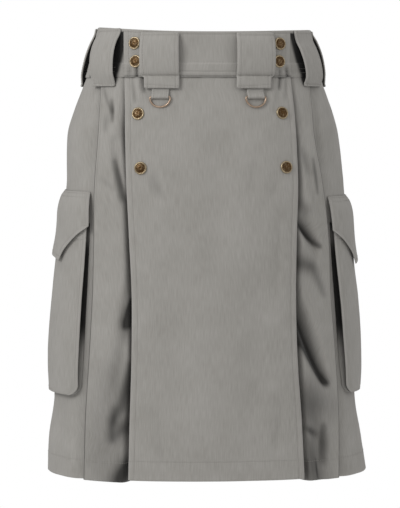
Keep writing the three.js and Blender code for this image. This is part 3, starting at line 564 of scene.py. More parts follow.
def along(angle, z, distance, steps=6, nudge=0.2):
    """The angle a distance further round the figure."""
    angle = angle + 0.0 * distance
    for _ in range(steps):
        speed = np.linalg.norm(plan(angle + nudge, z) - plan(angle - nudge, z), axis=-1) / (2 * nudge)
        angle = angle + distance / steps / speed
    return angle


STROKE_END = 0.12  # troughs fade towards their ends, as a half wave does that starts at this share


def troughs(a, z, rows, side=None):
    """The depth of the soft troughs of a table at each point, from its distance to their lines."""
    total = np.zeros(np.broadcast(a, z).shape)
    for i in range(len(rows["z1"])):
        if side is not None and rows["side"][i] != side:
            continue
        z1, a1, z2, a2, width, depth = (rows[key][i] for key in ("z1", "a1", "z2", "a2", "width", "depth"))
        width2 = rows["width2"][i] if "width2" in rows else width
        run = (a2 - a1) ** 2 + (z2 - z1) ** 2
        t = np.clip(((a - a1) * (a2 - a1) + (z - z1) * (z2 - z1)) / run, 0, 1)
        away = np.hypot(a - a1 - t * (a2 - a1), z - z1 - t * (z2 - z1))
        ends = np.sqrt(np.sin(np.pi * lerp(STROKE_END, 1 - STROKE_END, t)))
        total += depth * np.exp(-((away / lerp(width, width2, t)) ** 2)) * ends
    return total


def rumple(u, v, size_u, size_v, seed):
    """Smooth random waves of these sizes, from -1 to 1, the same in every run."""
    count = 64
    lattice = np.random.default_rng(seed).uniform(-1, 1, (count, count))
    u, v = u / size_u, v / size_v
    i, j = np.floor(u).astype(int), np.floor(v).astype(int)
    s, t = smoothstep(u - i, 0, 1), smoothstep(v - j, 0, 1)
    near = lerp(lattice[i % count, j % count], lattice[(i + 1) % count, j % count], s)
    far = lerp(lattice[i % count, (j + 1) % count], lattice[(i + 1) % count, (j + 1) % count], s)
    return lerp(near, far, t)


def spaced(start, end, step, lines=(), reach=1.6):
    """Places from start to end about a step apart, and close together at each line."""
    count = max(2, round(abs(end - start) / step) + 1)
    places = list(np.linspace(start, end, count))
    fine = [line + k * reach for line in lines for k in (-1, -0.5, 0, 0.5, 1)]
    low, high = min(start, end), max(start, end)
    fine = [x for x in fine if low < x < high]
    kept = [x for x in places if x in (start, end) or all(abs(x - y) > reach * 0.4 for y in fine)]
    found = sorted(kept + fine)
    return np.array(found if end > start else found[::-1])


INNER_SHADE, LOOP_INNER_SHADE = 0.25, 0.9  # painted shade on a sheet's inner face, and on a belt loop's, which is near black


class Cloth:
    """A sheet of cloth: a grid of points in rows from the top down, with the distances along and down it."""

    def __init__(self, points, thickness, outward):
        self.points = points
        self.thickness = thickness
        # Painted shade at each point, from 0 to 1.
        self.shade = np.zeros(points.shape[:2])
        self.wear = np.zeros(points.shape[:2])
        self.inner_shade = INNER_SHADE
        self.level_rows = slice(None)  # the rows that run straight across the cut
        # The sign that makes the grid's normals point outwards.
        self.turn = 1.0
        self.turn = math.copysign(1.0, float((self.normals() * outward).sum()))
        self.measure()

    def measure(self):
        def run(axis):
            steps = np.linalg.norm(np.diff(self.points, axis=axis), axis=-1)
            start = np.zeros_like(np.take(steps, [0], axis=axis))
            return np.concatenate([start, np.cumsum(steps, axis=axis)], axis=axis)

        self.u, self.v = run(1), run(0)

    def normals(self):
        across = np.gradient(self.points, axis=1)
        down = np.gradient(self.points, axis=0)
        return unit(np.cross(down, across)) * self.turn

    def lift(self, amount):
        """Moves the cloth out of its face by an amount at each point."""
        self.points = self.points + self.normals() * np.asarray(amount)[..., None]

    def right(self):
        """The distance to the last column."""
        return self.u[:, -1:] - self.u

    def below(self):
        """The distance to the last row."""
        return self.v[-1:, :] - self.v

    def line_down(self, distances, rows=slice(None)):
        """A line on the outer face, at distances from the first column, or from the last where negative."""
        face, normals = self.outer_face()
        return on_face(self.u, face, normals, distances, rows)

    def line_across(self, distances, columns=slice(None)):
        """A line on the outer face, at distances from the first row, or from the last where negative."""
        face, normals = (np.swapaxes(one, 0, 1) for one in self.outer_face())
        return on_face(self.v.T, face, normals, distances, columns)

    def outer_face(self):
        normals = self.normals()
        return self.points + normals * self.thickness / 2, normals

    def area(self):
        across = np.diff(self.points, axis=1)[:-1]
        down = np.diff(self.points, axis=0)[:, :-1]
        return float(np.linalg.norm(np.cross(across, down), axis=-1).sum())


def on_face(reach, face, normals, distances, picked):
    """One point and its normal in each picked row of a face, at a distance along the row."""
    wanted = np.broadcast_to(distances, len(face))
    line, out = [], []
    for j in np.arange(len(face))[picked]:
        at = wanted[j] if wanted[j] >= 0 else reach[j, -1] + wanted[j]
        line.append([np.interp(at, reach[j], face[j, :, k]) for k in range(3)])
        out.append([np.interp(at, reach[j], normals[j, :, k]) for k in range(3)])
    return np.array(line), unit(np.array(out))


def channel(distance, depth=0.45, width=1.1):
    """The shallow furrow that a line of stitching pulls into the cloth."""
    return -depth * np.exp(-((distance / width) ** 2))


def pucker(position, distance, seed, depth=0.5, pitch=9.0, reach=12.0):
    """The small waves that a seam gathers into the cloth beside it."""
    return depth * rumple(position, distance, pitch, 3 * reach, seed) * np.exp(-np.abs(distance) / reach)


def new_mesh(name, points, faces, layers, material):
    """A smooth mesh object in metres from points in millimetres."""
    mesh = bpy.data.meshes.new(name)
    mesh.from_pydata((np.asarray(points) * MM).tolist(), [], faces)
    for key, values in layers.items():
        values = np.asarray(values, np.float32)
        kind, field = ("FLOAT_VECTOR", "vector") if values.ndim == 2 else ("FLOAT", "value")
        mesh.attributes.new(key, kind, "POINT").data.foreach_set(field, values.ravel())
    mesh.materials.append(material)
    mesh.polygons.foreach_set("use_smooth", [True] * len(mesh.polygons))
    mesh.update()
    made = bpy.data.objects.new(name, mesh)
    bpy.context.scene.collection.objects.link(made)
    return made


def tube_faces(rings, sides, start=0, closed=False):
    """The faces between rings of points, and between the last and the first where they close a loop."""
    faces = []
    for k in range(rings if closed else rings - 1):
        for n in range(sides):
            here, there = start + k * sides, start + (k + 1) % rings * sides
            beside = (n + 1) % sides
            faces.append((here + n, here + beside, there + beside, there + n))
    return faces


def fit(made, body, slot, *nodes):
    """Puts a piece on its body and hides the solids that it stands for; the slot is not used."""
    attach(made, body)
    if nodes:
        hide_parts(*nodes)
    return made


EDGE_ROUNDING = 0.42  # how far a sheet's edge bulges, as a share of its thickness
EDGE_WEAR = 0.4


def cloth_piece(name, cloth, nodes=()):
    """The closed shell of a sheet of cloth with rounded edges; the size of its flat cut is worked out but not
    used.
    """
    cloth.measure()
    rows, columns = cloth.points.shape[:2]
    normals = cloth.normals()
    half = normals * cloth.thickness / 2
    faces = [(cloth.points + half).reshape(-1, 3), (cloth.points - half).reshape(-1, 3)]
    index = np.arange(rows * columns).reshape(rows, columns)
    corners = np.stack([index[:-1, :-1], index[1:, :-1], index[1:, 1:], index[:-1, 1:]], -1).reshape(-1, 4)
    rim = np.concatenate([index[0, :-1], index[:-1, -1], index[-1, :0:-1], index[:0:-1, 0]])
    inner = np.concatenate([index[1, :-1], index[:-1, -2], index[-2, :0:-1], index[:0:-1, 1]])
    middle = cloth.points.reshape(-1, 3)
    edge = middle[rim] + unit(middle[rim] - middle[inner]) * cloth.thickness * EDGE_ROUNDING
    count = rows * columns
    loop = np.arange(len(rim))
    after = np.roll(loop, -1)
    edge_index = 2 * count + loop
    upper = np.stack([rim, rim[after], edge_index[after], edge_index], -1)
    lower = np.stack([edge_index, edge_index[after], count + rim[after], count + rim], -1)
    quads = np.concatenate([corners, count + corners[:, ::-1], upper, lower])
    if cloth.turn < 0:
        quads = quads[:, ::-1]
    place = np.stack([cloth.u, cloth.v, 0 * cloth.u], -1).reshape(-1, 3) * MM
    shade, wear = cloth.shade.ravel(), cloth.wear.ravel()
    layers = {
        "cloth": np.concatenate([place, place, place[rim]]),
        "shade": np.concatenate([shade, 0 * shade + cloth.inner_shade, shade[rim]]),
        "wear": np.concatenate([wear, wear * 0, wear[rim] + EDGE_WEAR]),
    }
    points = np.concatenate([*faces, edge])
    made = new_mesh(name, points, quads.tolist(), layers, finish("washed_twill"))
    fit(made, "kilt", "cotton_twill", *nodes)
    width, length = float(cloth.u[cloth.level_rows, -1].max()) * MM, float(cloth.v[-1].max()) * MM
    area = min(cloth.area() * MM * MM, width * length)
    return made


# One stitch: how far along it each ring of points is, and the ring's height and width in threads.
STITCH_RINGS = ((0, -0.25, 0.5), (0.25, 0.28, 1), (0.75, 0.28, 1), (1, -0.25, 0.5))
STITCH_GAP, THREAD_SIDES = 0.12, 4  # the gap at each end, as a share of a stitch's pitch


def stitching(name, runs):
    """Rows of thread stitches along lines on the cloth, as one joined mesh."""
    sizes = making_sizes()
    points, faces = [], []
    for line, normals in runs:
        reach = np.concatenate([[0], np.cumsum(np.linalg.norm(np.diff(line, axis=0), axis=-1))])
        count = int(reach[-1] / sizes.stitch)

        def along_line(at, values):
            return np.array([np.interp(at, reach, values[:, n]) for n in range(3)])

        for k in range(count):
            start = len(points)
            for share, height, width in STITCH_RINGS:
                at = (k + lerp(STITCH_GAP, 1 - STITCH_GAP, share)) * reach[-1] / count
                up = unit(along_line(at, normals))
                aside = unit(np.cross(along_line(at + 0.5, line) - along_line(at - 0.5, line), up))
                middle = along_line(at, line) + up * height * sizes.thread
                for n in range(THREAD_SIDES):
                    turn = 2 * math.pi * (n + 0.5) / THREAD_SIDES
                    around = aside * math.cos(turn) + up * math.sin(turn)
                    points.append(middle + around * (sizes.thread / 2 * width))
            last = start + (len(STITCH_RINGS) - 1) * THREAD_SIDES
            faces += tube_faces(len(STITCH_RINGS), THREAD_SIDES, start)
            faces.append(tuple(range(start + THREAD_SIDES - 1, start - 1, -1)))
            faces.append(tuple(range(last, last + THREAD_SIDES)))
    made = new_mesh(name, np.array(points), faces, {}, finish("polyester_thread"))
    return fit(made, "kilt", "cotton_twill")


def node(tree, kind, settings=None, **inputs):
    """Adds a node with its settings and inputs: in0, in1 and so on, or names with underscores for spaces.

    An input is a value, or a socket that is linked to it.
    """
    made = tree.nodes.new(kind)
    for key, value in (settings or {}).items():
        setattr(made, key, value)
    for key, value in inputs.items():
        numbered = key.startswith("in") and key[2:].isdigit()
        socket = made.inputs[int(key[2:]) if numbered else key.replace("_", " ")]
        if isinstance(value, bpy.types.NodeSocket):
            tree.links.new(value, socket)
        else:
            socket.default_value = value
    return made


# Settings that several nodes share.
COLOURS, TIMES, TIMES_PLUS = {"data_type": "RGBA"}, {"operation": "MULTIPLY"}, {"operation": "MULTIPLY_ADD"}


def material(name):
    """A material with an empty node tree."""
    made = bpy.data.materials.new(name)
    made.use_nodes = True
    made.node_tree.nodes.clear()
    return made, made.node_tree


# Heavy cotton twill, woven in diagonal wales, washed and matt: it scatters light evenly with a faint soft
# sheen, and shows slightly uneven yarns and paler rubbed edges. Painted shade darkens it towards near-black
# in its recesses, creases, loop hollows and inner faces, and a painted highlight pales the waistband's fold.
WALE = 1.1  # mm between the twill's diagonal ribs, about twice the real spacing, which is too fine to show
YARN = 0.7  # mm
SLUB = 9  # mm, the length of thicker and paler places along the yarns
PATCH = 60  # mm, the size of the unevenness that washing leaves
BAND_WAVE = 2 * math.pi / 10  # a band texture's own length at a scale of 1


def washed_twill():
    colours = finish_colours()
    made, tree = material("washed_twill")
    cloth = node(tree, "ShaderNodeAttribute", {"attribute_name": "cloth"}).outputs["Vector"]
    wear = node(tree, "ShaderNodeAttribute", {"attribute_name": "wear"}).outputs["Fac"]
    # How much painted shade darkens the cloth at each point, from 0 to 1.
    depth = node(tree, "ShaderNodeAttribute", {"attribute_name": "shade"}).outputs["Fac"]
    wales = node(
        tree,
        "ShaderNodeTexWave",
        {"wave_type": "BANDS", "bands_direction": "DIAGONAL"},
        Vector=cloth,
        Scale=BAND_WAVE / (WALE * MM * math.sqrt(2)),
        Distortion=1.2,
        Detail=1.0,
        Detail_Scale=1.5,
    ).outputs["Fac"]
    yarns = node(tree, "ShaderNodeTexNoise", Vector=cloth, Scale=1 / (YARN * MM), Detail=2.0).outputs[0]
    along_yarn = node(tree, "ShaderNodeMapping", Vector=cloth, Scale=(1.0, YARN / SLUB, 1.0)).outputs[0]
    slubs = node(tree, "ShaderNodeTexNoise", Vector=along_yarn, Scale=1 / (2 * YARN * MM), Detail=1.0)
    patches = node(tree, "ShaderNodeTexNoise", Vector=cloth, Scale=1 / (PATCH * MM), Detail=3.0)
    # The slubs count for a little more than the patches.
    slubby = node(tree, "ShaderNodeMath", TIMES, in0=slubs.outputs[0], in1=0.55).outputs[0]
    uneven = node(tree, "ShaderNodeMath", TIMES_PLUS, in0=patches.outputs[0], in1=0.45, in2=slubby).outputs[0]
    blotch = node(tree, "ShaderNodeMapRange", in0=uneven, in1=0.3, in2=0.7, in3=0.0, in4=1.0).outputs[0]
    dark = colours.twill_dark
    base = node(tree, "ShaderNodeMix", COLOURS, in0=blotch, in6=colours.twill, in7=dark).outputs[2]
    # The furrows between the wales are up to 22 % darker.
    furrow = node(tree, "ShaderNodeMapRange", in0=wales, in1=0.0, in2=0.35, in3=0.22, in4=0.0).outputs[0]
    woven = node(tree, "ShaderNodeMix", COLOURS, in0=furrow, in6=base, in7=dark).outputs[2]
    # Rubbed edges and hems are paler, and so is a painted highlight along the waistband's fold.
    rubbed = node(tree, "ShaderNodeMath", {**TIMES, "use_clamp": True}, in0=wear, in1=0.8).outputs[0]
    worn_and_lit = node(tree, "ShaderNodeMix", COLOURS, in0=rubbed, in6=woven, in7=colours.twill_worn_and_lit).outputs[2]
    # Painted shade: the cloth is mixed towards near-black.
    shaded = node(tree, "ShaderNodeMix", COLOURS, in0=depth, in6=worn_and_lit, in7=colours.painted_shade).outputs[2]
    ribs = node(tree, "ShaderNodeBump", Strength=0.35, Distance=0.25 * MM, Height=wales).outputs[0]
    fuzz = node(tree, "ShaderNodeBump", Strength=0.3, Distance=0.2 * MM, Height=yarns, Normal=ribs).outputs[0]
    shader = node(
        tree,
        "ShaderNodeBsdfPrincipled",
        Base_Color=shaded,
        Roughness=0.92,
        Specular_IOR_Level=0.25,
        Sheen_Weight=0.12,
        Sheen_Roughness=0.6,
        Normal=fuzz,
    )
    node(tree, "ShaderNodeOutputMaterial", Surface=shader.outputs[0])
    return made


# Spun polyester thread, twisted and slightly glossy: a little darker than the cloth, with a thin highlight.
TWIST = 0.8  # mm, the length of one turn of the thread's plies


def polyester_thread():
    colours = finish_colours()
    made, tree = material("polyester_thread")
    place = node(tree, "ShaderNodeTexCoord").outputs["Object"]
    twist = node(tree, "ShaderNodeTexNoise", Vector=place, Scale=1 / (TWIST * MM), Detail=2.0).outputs[0]
    light, dark = colours.thread, colours.twill_dark
    tone = node(tree, "ShaderNodeMix", COLOURS, in0=twist, in6=light, in7=dark).outputs[2]
    shader = node(tree, "ShaderNodeBsdfPrincipled", Base_Color=tone, Roughness=0.6)
    node(tree, "ShaderNodeOutputMaterial", Surface=shader.outputs[0])
    return made


# Antique brass, stamped, blackened and rubbed back: dark brown in the grooves, warm and brighter on the rim.
MOTTLE, DENT = 1.8, 0.5  # mm, the sizes of the patina's spots and of the stamping's fine dents


def antique_brass():
    colours = finish_colours()
    made, tree = material("antique_brass")
    rub = node(tree, "ShaderNodeAttribute", {"attribute_name": "rub"}).outputs["Fac"]
    place = node(tree, "ShaderNodeTexCoord").outputs["Object"]
    spots = node(tree, "ShaderNodeTexNoise", Vector=place, Scale=1 / (MOTTLE * MM), Detail=4.0).outputs[0]
    spread = node(tree, "ShaderNodeMapRange", in0=spots, in1=0.3, in2=0.7, in3=-0.3, in4=0.3).outputs[0]
    bright = node(tree, "ShaderNodeMath", {"use_clamp": True}, in0=rub, in1=spread).outputs[0]
    tone = node(tree, "ShaderNodeMix", COLOURS, in0=bright, in6=colours.patina, in7=colours.brass).outputs[2]
    # Rubbed brass is smoother than patina.
    rough = node(tree, "ShaderNodeMapRange", in0=bright, in1=0.0, in2=1.0, in3=0.48, in4=0.28).outputs[0]
    grain = node(tree, "ShaderNodeTexNoise", Vector=place, Scale=1 / (DENT * MM), Detail=2.0).outputs[0]
    dents = node(tree, "ShaderNodeBump", Strength=0.2, Distance=0.08 * MM, Height=grain).outputs[0]
    shader = node(
        tree, "ShaderNodeBsdfPrincipled", Base_Color=tone, Metallic=1.0, Roughness=rough, Normal=dents
    )
    node(tree, "ShaderNodeOutputMaterial", Surface=shader.outputs[0])
    return made


# Brass wire, drawn, bent and antiqued: smooth along its length, pinkish and worn bright where it hangs.
TARNISH = 3  # mm, the size of its duller spots


def brass_wire():
    colours = finish_colours()
    made, tree = material("brass_wire")
    place = node(tree, "ShaderNodeTexCoord").outputs["Object"]
    spots = node(tree, "ShaderNodeTexNoise", Vector=place, Scale=1 / (TARNISH * MM), Detail=3.0).outputs[0]
    tone = node(tree, "ShaderNodeMix", COLOURS, in0=spots, in6=colours.wire, in7=colours.wire_dull).outputs[2]
    shader = node(tree, "ShaderNodeBsdfPrincipled", Base_Color=tone, Metallic=1.0, Roughness=0.34)
    node(tree, "ShaderNodeOutputMaterial", Surface=shader.outputs[0])
    return made


# Matt white background paper, pressed smooth: it scatters evenly, with a barely uneven tone.
PULP = 500  # mm, the size of its broad cloudiness


def studio_paper():
    colours = finish_colours()
    made, tree = material("studio_paper")
    place = node(tree, "ShaderNodeTexCoord").outputs["Object"]
    pulp = node(tree, "ShaderNodeTexNoise", Vector=place, Scale=1 / (PULP * MM), Detail=3.0).outputs[0]
    plain, light = colours.paper, colours.paper_light
    tone = node(tree, "ShaderNodeMix", COLOURS, in0=pulp, in6=plain, in7=light).outputs[2]
    shader = node(tree, "ShaderNodeBsdfPrincipled", Base_Color=tone, Roughness=0.95)
    node(tree, "ShaderNodeOutputMaterial", Surface=shader.outputs[0])
    return made


FINISHES = {
    "washed_twill": washed_twill,
    "polyester_thread": polyester_thread,
    "antique_brass": antique_brass,
    "brass_wire": brass_wire,
    "studio_paper": studio_paper,
}


def finish(name):
    return bpy.data.materials.get(name) or FINISHES[name]()


def waist_top(angle):
    s, c = np.sin(np.radians(angle)), np.cos(np.radians(angle))
    rise = np.where(s < 0, SIDE_RISE[LEFT], SIDE_RISE[RIGHT])
    return WAIST_TOP + rise * s * s + np.where(c < 0, BACK_RISE * c * c, 0)


# The heights of a waistband's rows of stitching and of the fold between the first two.
BAND_HEAD, BAND_LEDGE, BAND_STITCH, BAND_FOOT = WAIST_TOP - 3, -12.6, -23.5, -29.5
BAND_ROW = 3  # the spacing of its rows of points
BAND_COLUMNS = 400  # points round the waist
BAND_SHOWN = 47, 313  # degrees round, between the apron's edges


def band_relief(cloth, levels, seed):
    """The fold along a waistband and the furrows and puckers of its rows of stitching."""
    z = levels[:, None] + 0 * cloth.u
    ledge = 1.1 * smoothstep(-z, -BAND_LEDGE - 0.8, -BAND_LEDGE + 0.8)
    foot = 0.5 * smoothstep(-z, -BAND_FOOT, -BAND_FOOT + 2)
    relief = ledge - foot + channel(z - BAND_STITCH) + channel(z - BAND_FOOT) + channel(z - BAND_HEAD)
    relief += pucker(cloth.u, z - BAND_FOOT, seed, depth=0.55, pitch=7, reach=7)
    relief += 0.35 * rumple(cloth.u, z, 26, 30, seed + 1)
    # A paler line along the fold: rubbed wear, and a painted highlight where light catches the ledge's top
    # edge.
    cloth.wear += 0.35 * np.exp(-((z - BAND_LEDGE) / 1.2) ** 2)
    return relief


def band_grid(angles_at, thickness, out, seed):
    """A waistband: its rows run from the top edge down, finer at its fold and its stitching."""
    heights = spaced(WAIST_TOP, WAIST_BOTTOM, BAND_ROW, (BAND_HEAD, BAND_LEDGE, BAND_STITCH, BAND_FOOT))
    angle = angles_at(heights[:, None])
    lift = smoothstep(heights[:, None], WAIST_BOTTOM, WAIST_TOP) * (waist_top(angle[:1]) - WAIST_TOP)
    z = heights[:, None] + lift
    cloth = Cloth(plan(angle, z, out), thickness, outwards(angle, z))
    cloth.lift(band_relief(cloth, heights, seed))
    return cloth, angle, heights


# The painted shade in a front side loop's hollow reaches forward to these angles, at the waistband's top and
# bottom.
HOLLOW_FRONT = {LEFT: (-42, -45), RIGHT: (45.5, 49.5)}
# The painted shade in the hollows under the two loops that show from the front, and under the others: its
# deepest value, how many degrees it fades over at each side, and the heights where it starts and is full.
FRONT_HOLLOW_SHADE, OTHER_HOLLOW_SHADE = (0.97, 1.5, 29, 26), (0.8, 3, 26, 12)
HOLLOW_RUN = 60  # the drop from the first of the front angles to the second


def loop_hollow_shade(angle, heights):
    """The painted shade of the belt loops' hollows at each point of a waistband, from 0 to 1."""
    z = heights[:, None]
    dark = np.zeros((len(heights), angle.shape[-1]))
    for name, loop in LOOPS.items():
        low, high = sorted(loop["top"])
        deepest, fade, start, full = OTHER_HOLLOW_SHADE
        if name.startswith("front_side"):
            deepest, fade, start, full = FRONT_HOLLOW_SHADE
            front = lerp(*HOLLOW_FRONT[LEFT if low < 0 else RIGHT], (WAIST_TOP - z) / HOLLOW_RUN)
            low, high = (low, front) if high < 0 else (front, high)
        across = smoothstep(angle, low - fade, low + fade) * (1 - smoothstep(angle, high - fade, high + fade))
        dark = np.maximum(dark, across * smoothstep(-z, -start, -full) * deepest)
    return dark


class KILT_OT_waistbands(bpy.types.Operator):
    """Make the waistband and the apron's waistband with their stitching"""

    bl_idname = "kilt.waistbands"
    bl_label = "Waistbands"

    def execute(self, context):
        sizes = making_sizes()
        turn = np.linspace(WRAP_END, WRAP_END + 360 - WRAP_GAP, BAND_COLUMNS)[None]
        band, angle, heights = band_grid(lambda z: turn + 0 * z, sizes.double_cloth, 0, 11)
        # Painted shade in the belt loops' hollows.
        band.shade = loop_hollow_shade((angle + 180) % 360 - 180, heights)
        cloth_piece("waistband_cloth", band, ["waistband"])
        across = np.concatenate([[0, 0.004, 0.012], np.linspace(0.022, 0.978, 110), [0.988, 0.996, 1]])[None]
        outer, angle, heights = band_grid(
            lambda z: lerp(apron_angle(z, 0), apron_angle(z, 1), across),
            sizes.double_cloth,
            APRON_WAISTBAND_OUT,
            12,
        )
        tucks = troughs(outer.points[..., 0], outer.points[..., 2], BAND_CREASES)
        outer.lift(-tucks)
        # Painted shade in the tucks that the snaps pull in, and a painted dark line along the foot seam.
        seam = 0.4 * np.exp(-((heights[:, None] - BAND_FOOT) / 1.3) ** 2)
        outer.shade = np.clip(0.24 * tucks, 0, 0.6) + seam
        cloth_piece("apron_waistband_cloth", outer, ["apron_waistband"])
        turns = 360 - WRAP_GAP
        shown = slice(*(int(BAND_COLUMNS * (edge - WRAP_END) / turns) for edge in BAND_SHOWN))
        runs = []
        for level in (BAND_HEAD, BAND_STITCH, BAND_FOOT):
            down = WAIST_TOP - level
            runs.append(band.line_across(down, shown))
            runs.append(outer.line_across(down))
        runs += [outer.line_down(sizes.edge_fold), outer.line_down(-sizes.edge_fold)]
        stitching("waistband_stitching", runs)
        return {"FINISHED"}


def apron_angle(z, edge):
    """The angle of the apron's left edge (0) or right edge (1)."""
    column = "apron_right" if edge else "apron_left"
    return angle_at_x(read(FRONT_EDGES, column, z), z)


def apron_surface(x, z):
    """How far the apron stands out at X, with its hanging waves."""
    return read(LAYERS, "apron", z) - troughs(x, z, APRON_TROUGHS)


def panel_heights(hem, step):
    """The heights of a panel's rows of points, finer at its hem's stitching."""
    return spaced(WAIST_BOTTOM - SEAM_GAP, hem, step, (hem + making_sizes().hem,))


TUCK_RISE = 6  # how far a layer behind the waistband reaches up inside it
TUCK_FROM = -48  # the height where a layer starts to rise
TUCK_DEPTHS = 1.9, 2.6  # how deep behind the figure a layer lies that starts to be tucked, or is in full


def tucked(z, out):
    """Raises the top of the layers that lie behind the waistband, so that no light comes in over them."""
    return z + TUCK_RISE * smoothstep(-out, *TUCK_DEPTHS) * smoothstep(z, TUCK_FROM, WAIST_BOTTOM - SEAM_GAP)


def hem_relief(cloth, seed):
    """The turned hem: a second layer's step, its stitching's furrow and its slanting puckers."""
    hem = making_sizes().hem
    up = cloth.below()
    step = 0.15 * smoothstep(hem + 3 - up, 0, 6)
    twist = pucker(cloth.u + 0.8 * up, up - hem, seed, depth=0.3, pitch=8, reach=9)
    cloth.wear += 0.3 * np.exp(-up / 2.5)
    return step + channel(up - hem, 0.06) + twist


def seam_relief(cloth, seed, depth=0.9):
    """The puckers under a waist seam, and a painted shade line along it."""
    cloth.shade += 0.45 * np.exp(-((cloth.v / 1.6) ** 2))
    gathers = pucker(cloth.u, cloth.v, seed, depth=depth, pitch=11, reach=16)
    return gathers + channel(cloth.v - 0.5, 0.5, 1.5)


APRON_MARGIN, APRON_COLUMNS = 12, 84  # the finely divided margin at each edge, and the points between
RULER_POINTS = 240  # the points that measure one row of the apron
UNDER_APRON_COLUMNS, UNDER_APRON_SHADE = 60, 0.3


class KILT_OT_apron(bpy.types.Operator):
    """Make the front apron and the plain layer that wraps under it"""

    bl_idname = "kilt.apron"
    bl_label = "Apron"

    def execute(self, context):
        sizes = making_sizes()
        z = panel_heights(HEM, sizes.step)[:, None]
        start, end = apron_angle(z, 0), apron_angle(z, 1)
        width = distance_along(start[:, 0], end[:, 0], z[:, 0])[:, None]
        edge = spaced(0, APRON_MARGIN, sizes.step, (sizes.edge_fold,))
        middle = np.linspace(0, 1, APRON_COLUMNS)[None, 1:-1]
        inner = lerp(APRON_MARGIN, width - APRON_MARGIN, middle)
        reach = np.concatenate([edge + 0 * width, inner, width - edge[::-1]], axis=1)
        rows = zip(reach, *self.ruler(start, end, z, width))
        angle = np.array([np.interp(row, distances, angles) for row, distances, angles in rows])
        x = plan(angle, z)[..., 0]
        apron = Cloth(plan(angle, z, apron_surface(x, z)), sizes.apron_cloth, outwards(angle, z))
        margin = np.minimum(apron.u, apron.right())
        creases = troughs(x, z, APRON_CREASES)
        # Painted shade in the bottoms of the creases.
        apron.shade = np.clip(0.22 * (creases - 0.7), 0, 0.65)
        relief = channel(margin - sizes.edge_fold) - creases
        relief += hem_relief(apron, 21) + seam_relief(apron, 22, 0.5)
        relief += pucker(apron.v, margin - sizes.edge_fold, 23, depth=0.3, pitch=12, reach=8)
        relief += 0.5 * rumple(apron.u, apron.v, 55, 90, 24) + 0.16 * rumple(apron.u, apron.v, 16, 22, 25)
        apron.wear += 0.3 * np.exp(-margin / 1.5)
        apron.lift(relief)
        cloth_piece("apron_cloth", apron, ["apron"])
        runs = [apron.line_down(sizes.edge_fold), apron.line_down(-sizes.edge_fold)]
        runs.append(apron.line_across(-sizes.hem))
        stitching("apron_stitching", runs)
        self.under_apron(sizes)
        return {"FINISHED"}

    def ruler(self, start, end, z, width):
        """Distances and angles along each row of the apron."""
        angles = lerp(start, end, np.linspace(0, 1, RULER_POINTS)[None])
        steps = np.linalg.norm(np.diff(plan(angles, z), axis=1), axis=-1)
        distances = np.concatenate([np.zeros_like(z), np.cumsum(steps, axis=1)], axis=1)
        return distances * width / distances[:, -1:], angles

    def under_apron(self, sizes):
        z = panel_heights(HEM + UNDER_APRON_HEM_RISE, 2 * sizes.step)[:, None]
        out = -read(LAYERS, "recess", z) - sizes.cloth - UNDER_APRON_GAP
        start = along(apron_angle(z, 0), z, UNDER_APRON_INSET)
        end = along(apron_angle(z, 1), z, -UNDER_APRON_INSET)
        angle = lerp(start, end, np.linspace(0, 1, UNDER_APRON_COLUMNS)[None])
        under = Cloth(plan(angle, tucked(z, out), out), sizes.cloth, outwards(angle, z))
        under.lift(hem_relief(under, 26) + 0.8 * rumple(under.u, under.v, 50, 120, 27))
        # Painted shade over the whole layer that hangs under the apron.
        under.shade += UNDER_APRON_SHADE
        cloth_piece("under_apron_cloth", under, ["under_apron"])


def fold_turn(angle, z, out, pitch, direction, turns):
    """Part of a half turn of cloth from one layer to the next."""
    radius = pitch / 2
    around = along(angle, z, direction * radius * np.sin(np.pi * turns))
    return around, out - radius * (1 - np.cos(np.pi * turns))


def fold_angle(side, z):
    return angle_at_x(read(FRONT_EDGES, "fold_left" if side < 0 else "fold_right", z), z)


def side_panel_out(side, angle, z):
    """How far the side panel stands out: it rises to the figure from under the front pleat's fold."""
    away = distance_along(fold_angle(side, z) + 0 * angle, angle, z + 0 * angle)
    settled = smoothstep(away, PLEAT_UNDER, PLEAT_SETTLE)
    return (read(LAYERS, "front_fold", z) - 2 * read(LAYERS, "pitch", z)) * (1 - settled)


def pocket_angle(side, place, z):
    """The angle of a place across a pocket."""
    top, bottom = POCKET_MIDDLES[side]
    middle = lerp(top, bottom, (z - POCKET_TOP) / (POCKET_BOTTOM - POCKET_TOP))
    return angle_at_y(middle + place, z, side)


def flat_layer(ends, places, out):
    """A flat layer at places between two angles."""
    return lerp(*ends, np.array([places])), out + np.zeros((1, len(places)))


def join(*parts):
    """Joins stretches of angles and of distances out, side by side."""
    rows = max(len(np.atleast_2d(part[0])) for part in parts)
    spread = [[np.broadcast_to(a, (rows, np.shape(a)[-1])) for a in part] for part in parts]
    return [np.concatenate(column, axis=1) for column in zip(*spread)]


PLEAT_COLUMNS, PANEL_COLUMNS, INSIDE_COLUMNS = 48, 84, 8
RECESS_SHADE, PLEAT_FOLD_SHADE = 0.95, 0.7  # painted shade behind the apron, and between the pleat's layers
LOOP_FOOT_SHADE = 0.95  # painted shade under the open sides of a loop that end below the waistband
BESIDE_FOLD_SHADES = 0.12, 0.5  # painted shade on the side panel along the fold, near its top and its bottom
BACK_FOLD_SHADE, BACK_MIDDLE_LIGHT = 0.75, 0.75  # painted shade between back pleats, and the share less of it in the middle
SEAM_EASE = 30, 40  # the depths between which a panel's relief grows, under the straight waist seam
FOLD_STITCH = 2.2  # from a pleat's fold to its stitching
FOLD_STITCH_END = {"front": -215, "back": -150}  # the height where that stitching ends


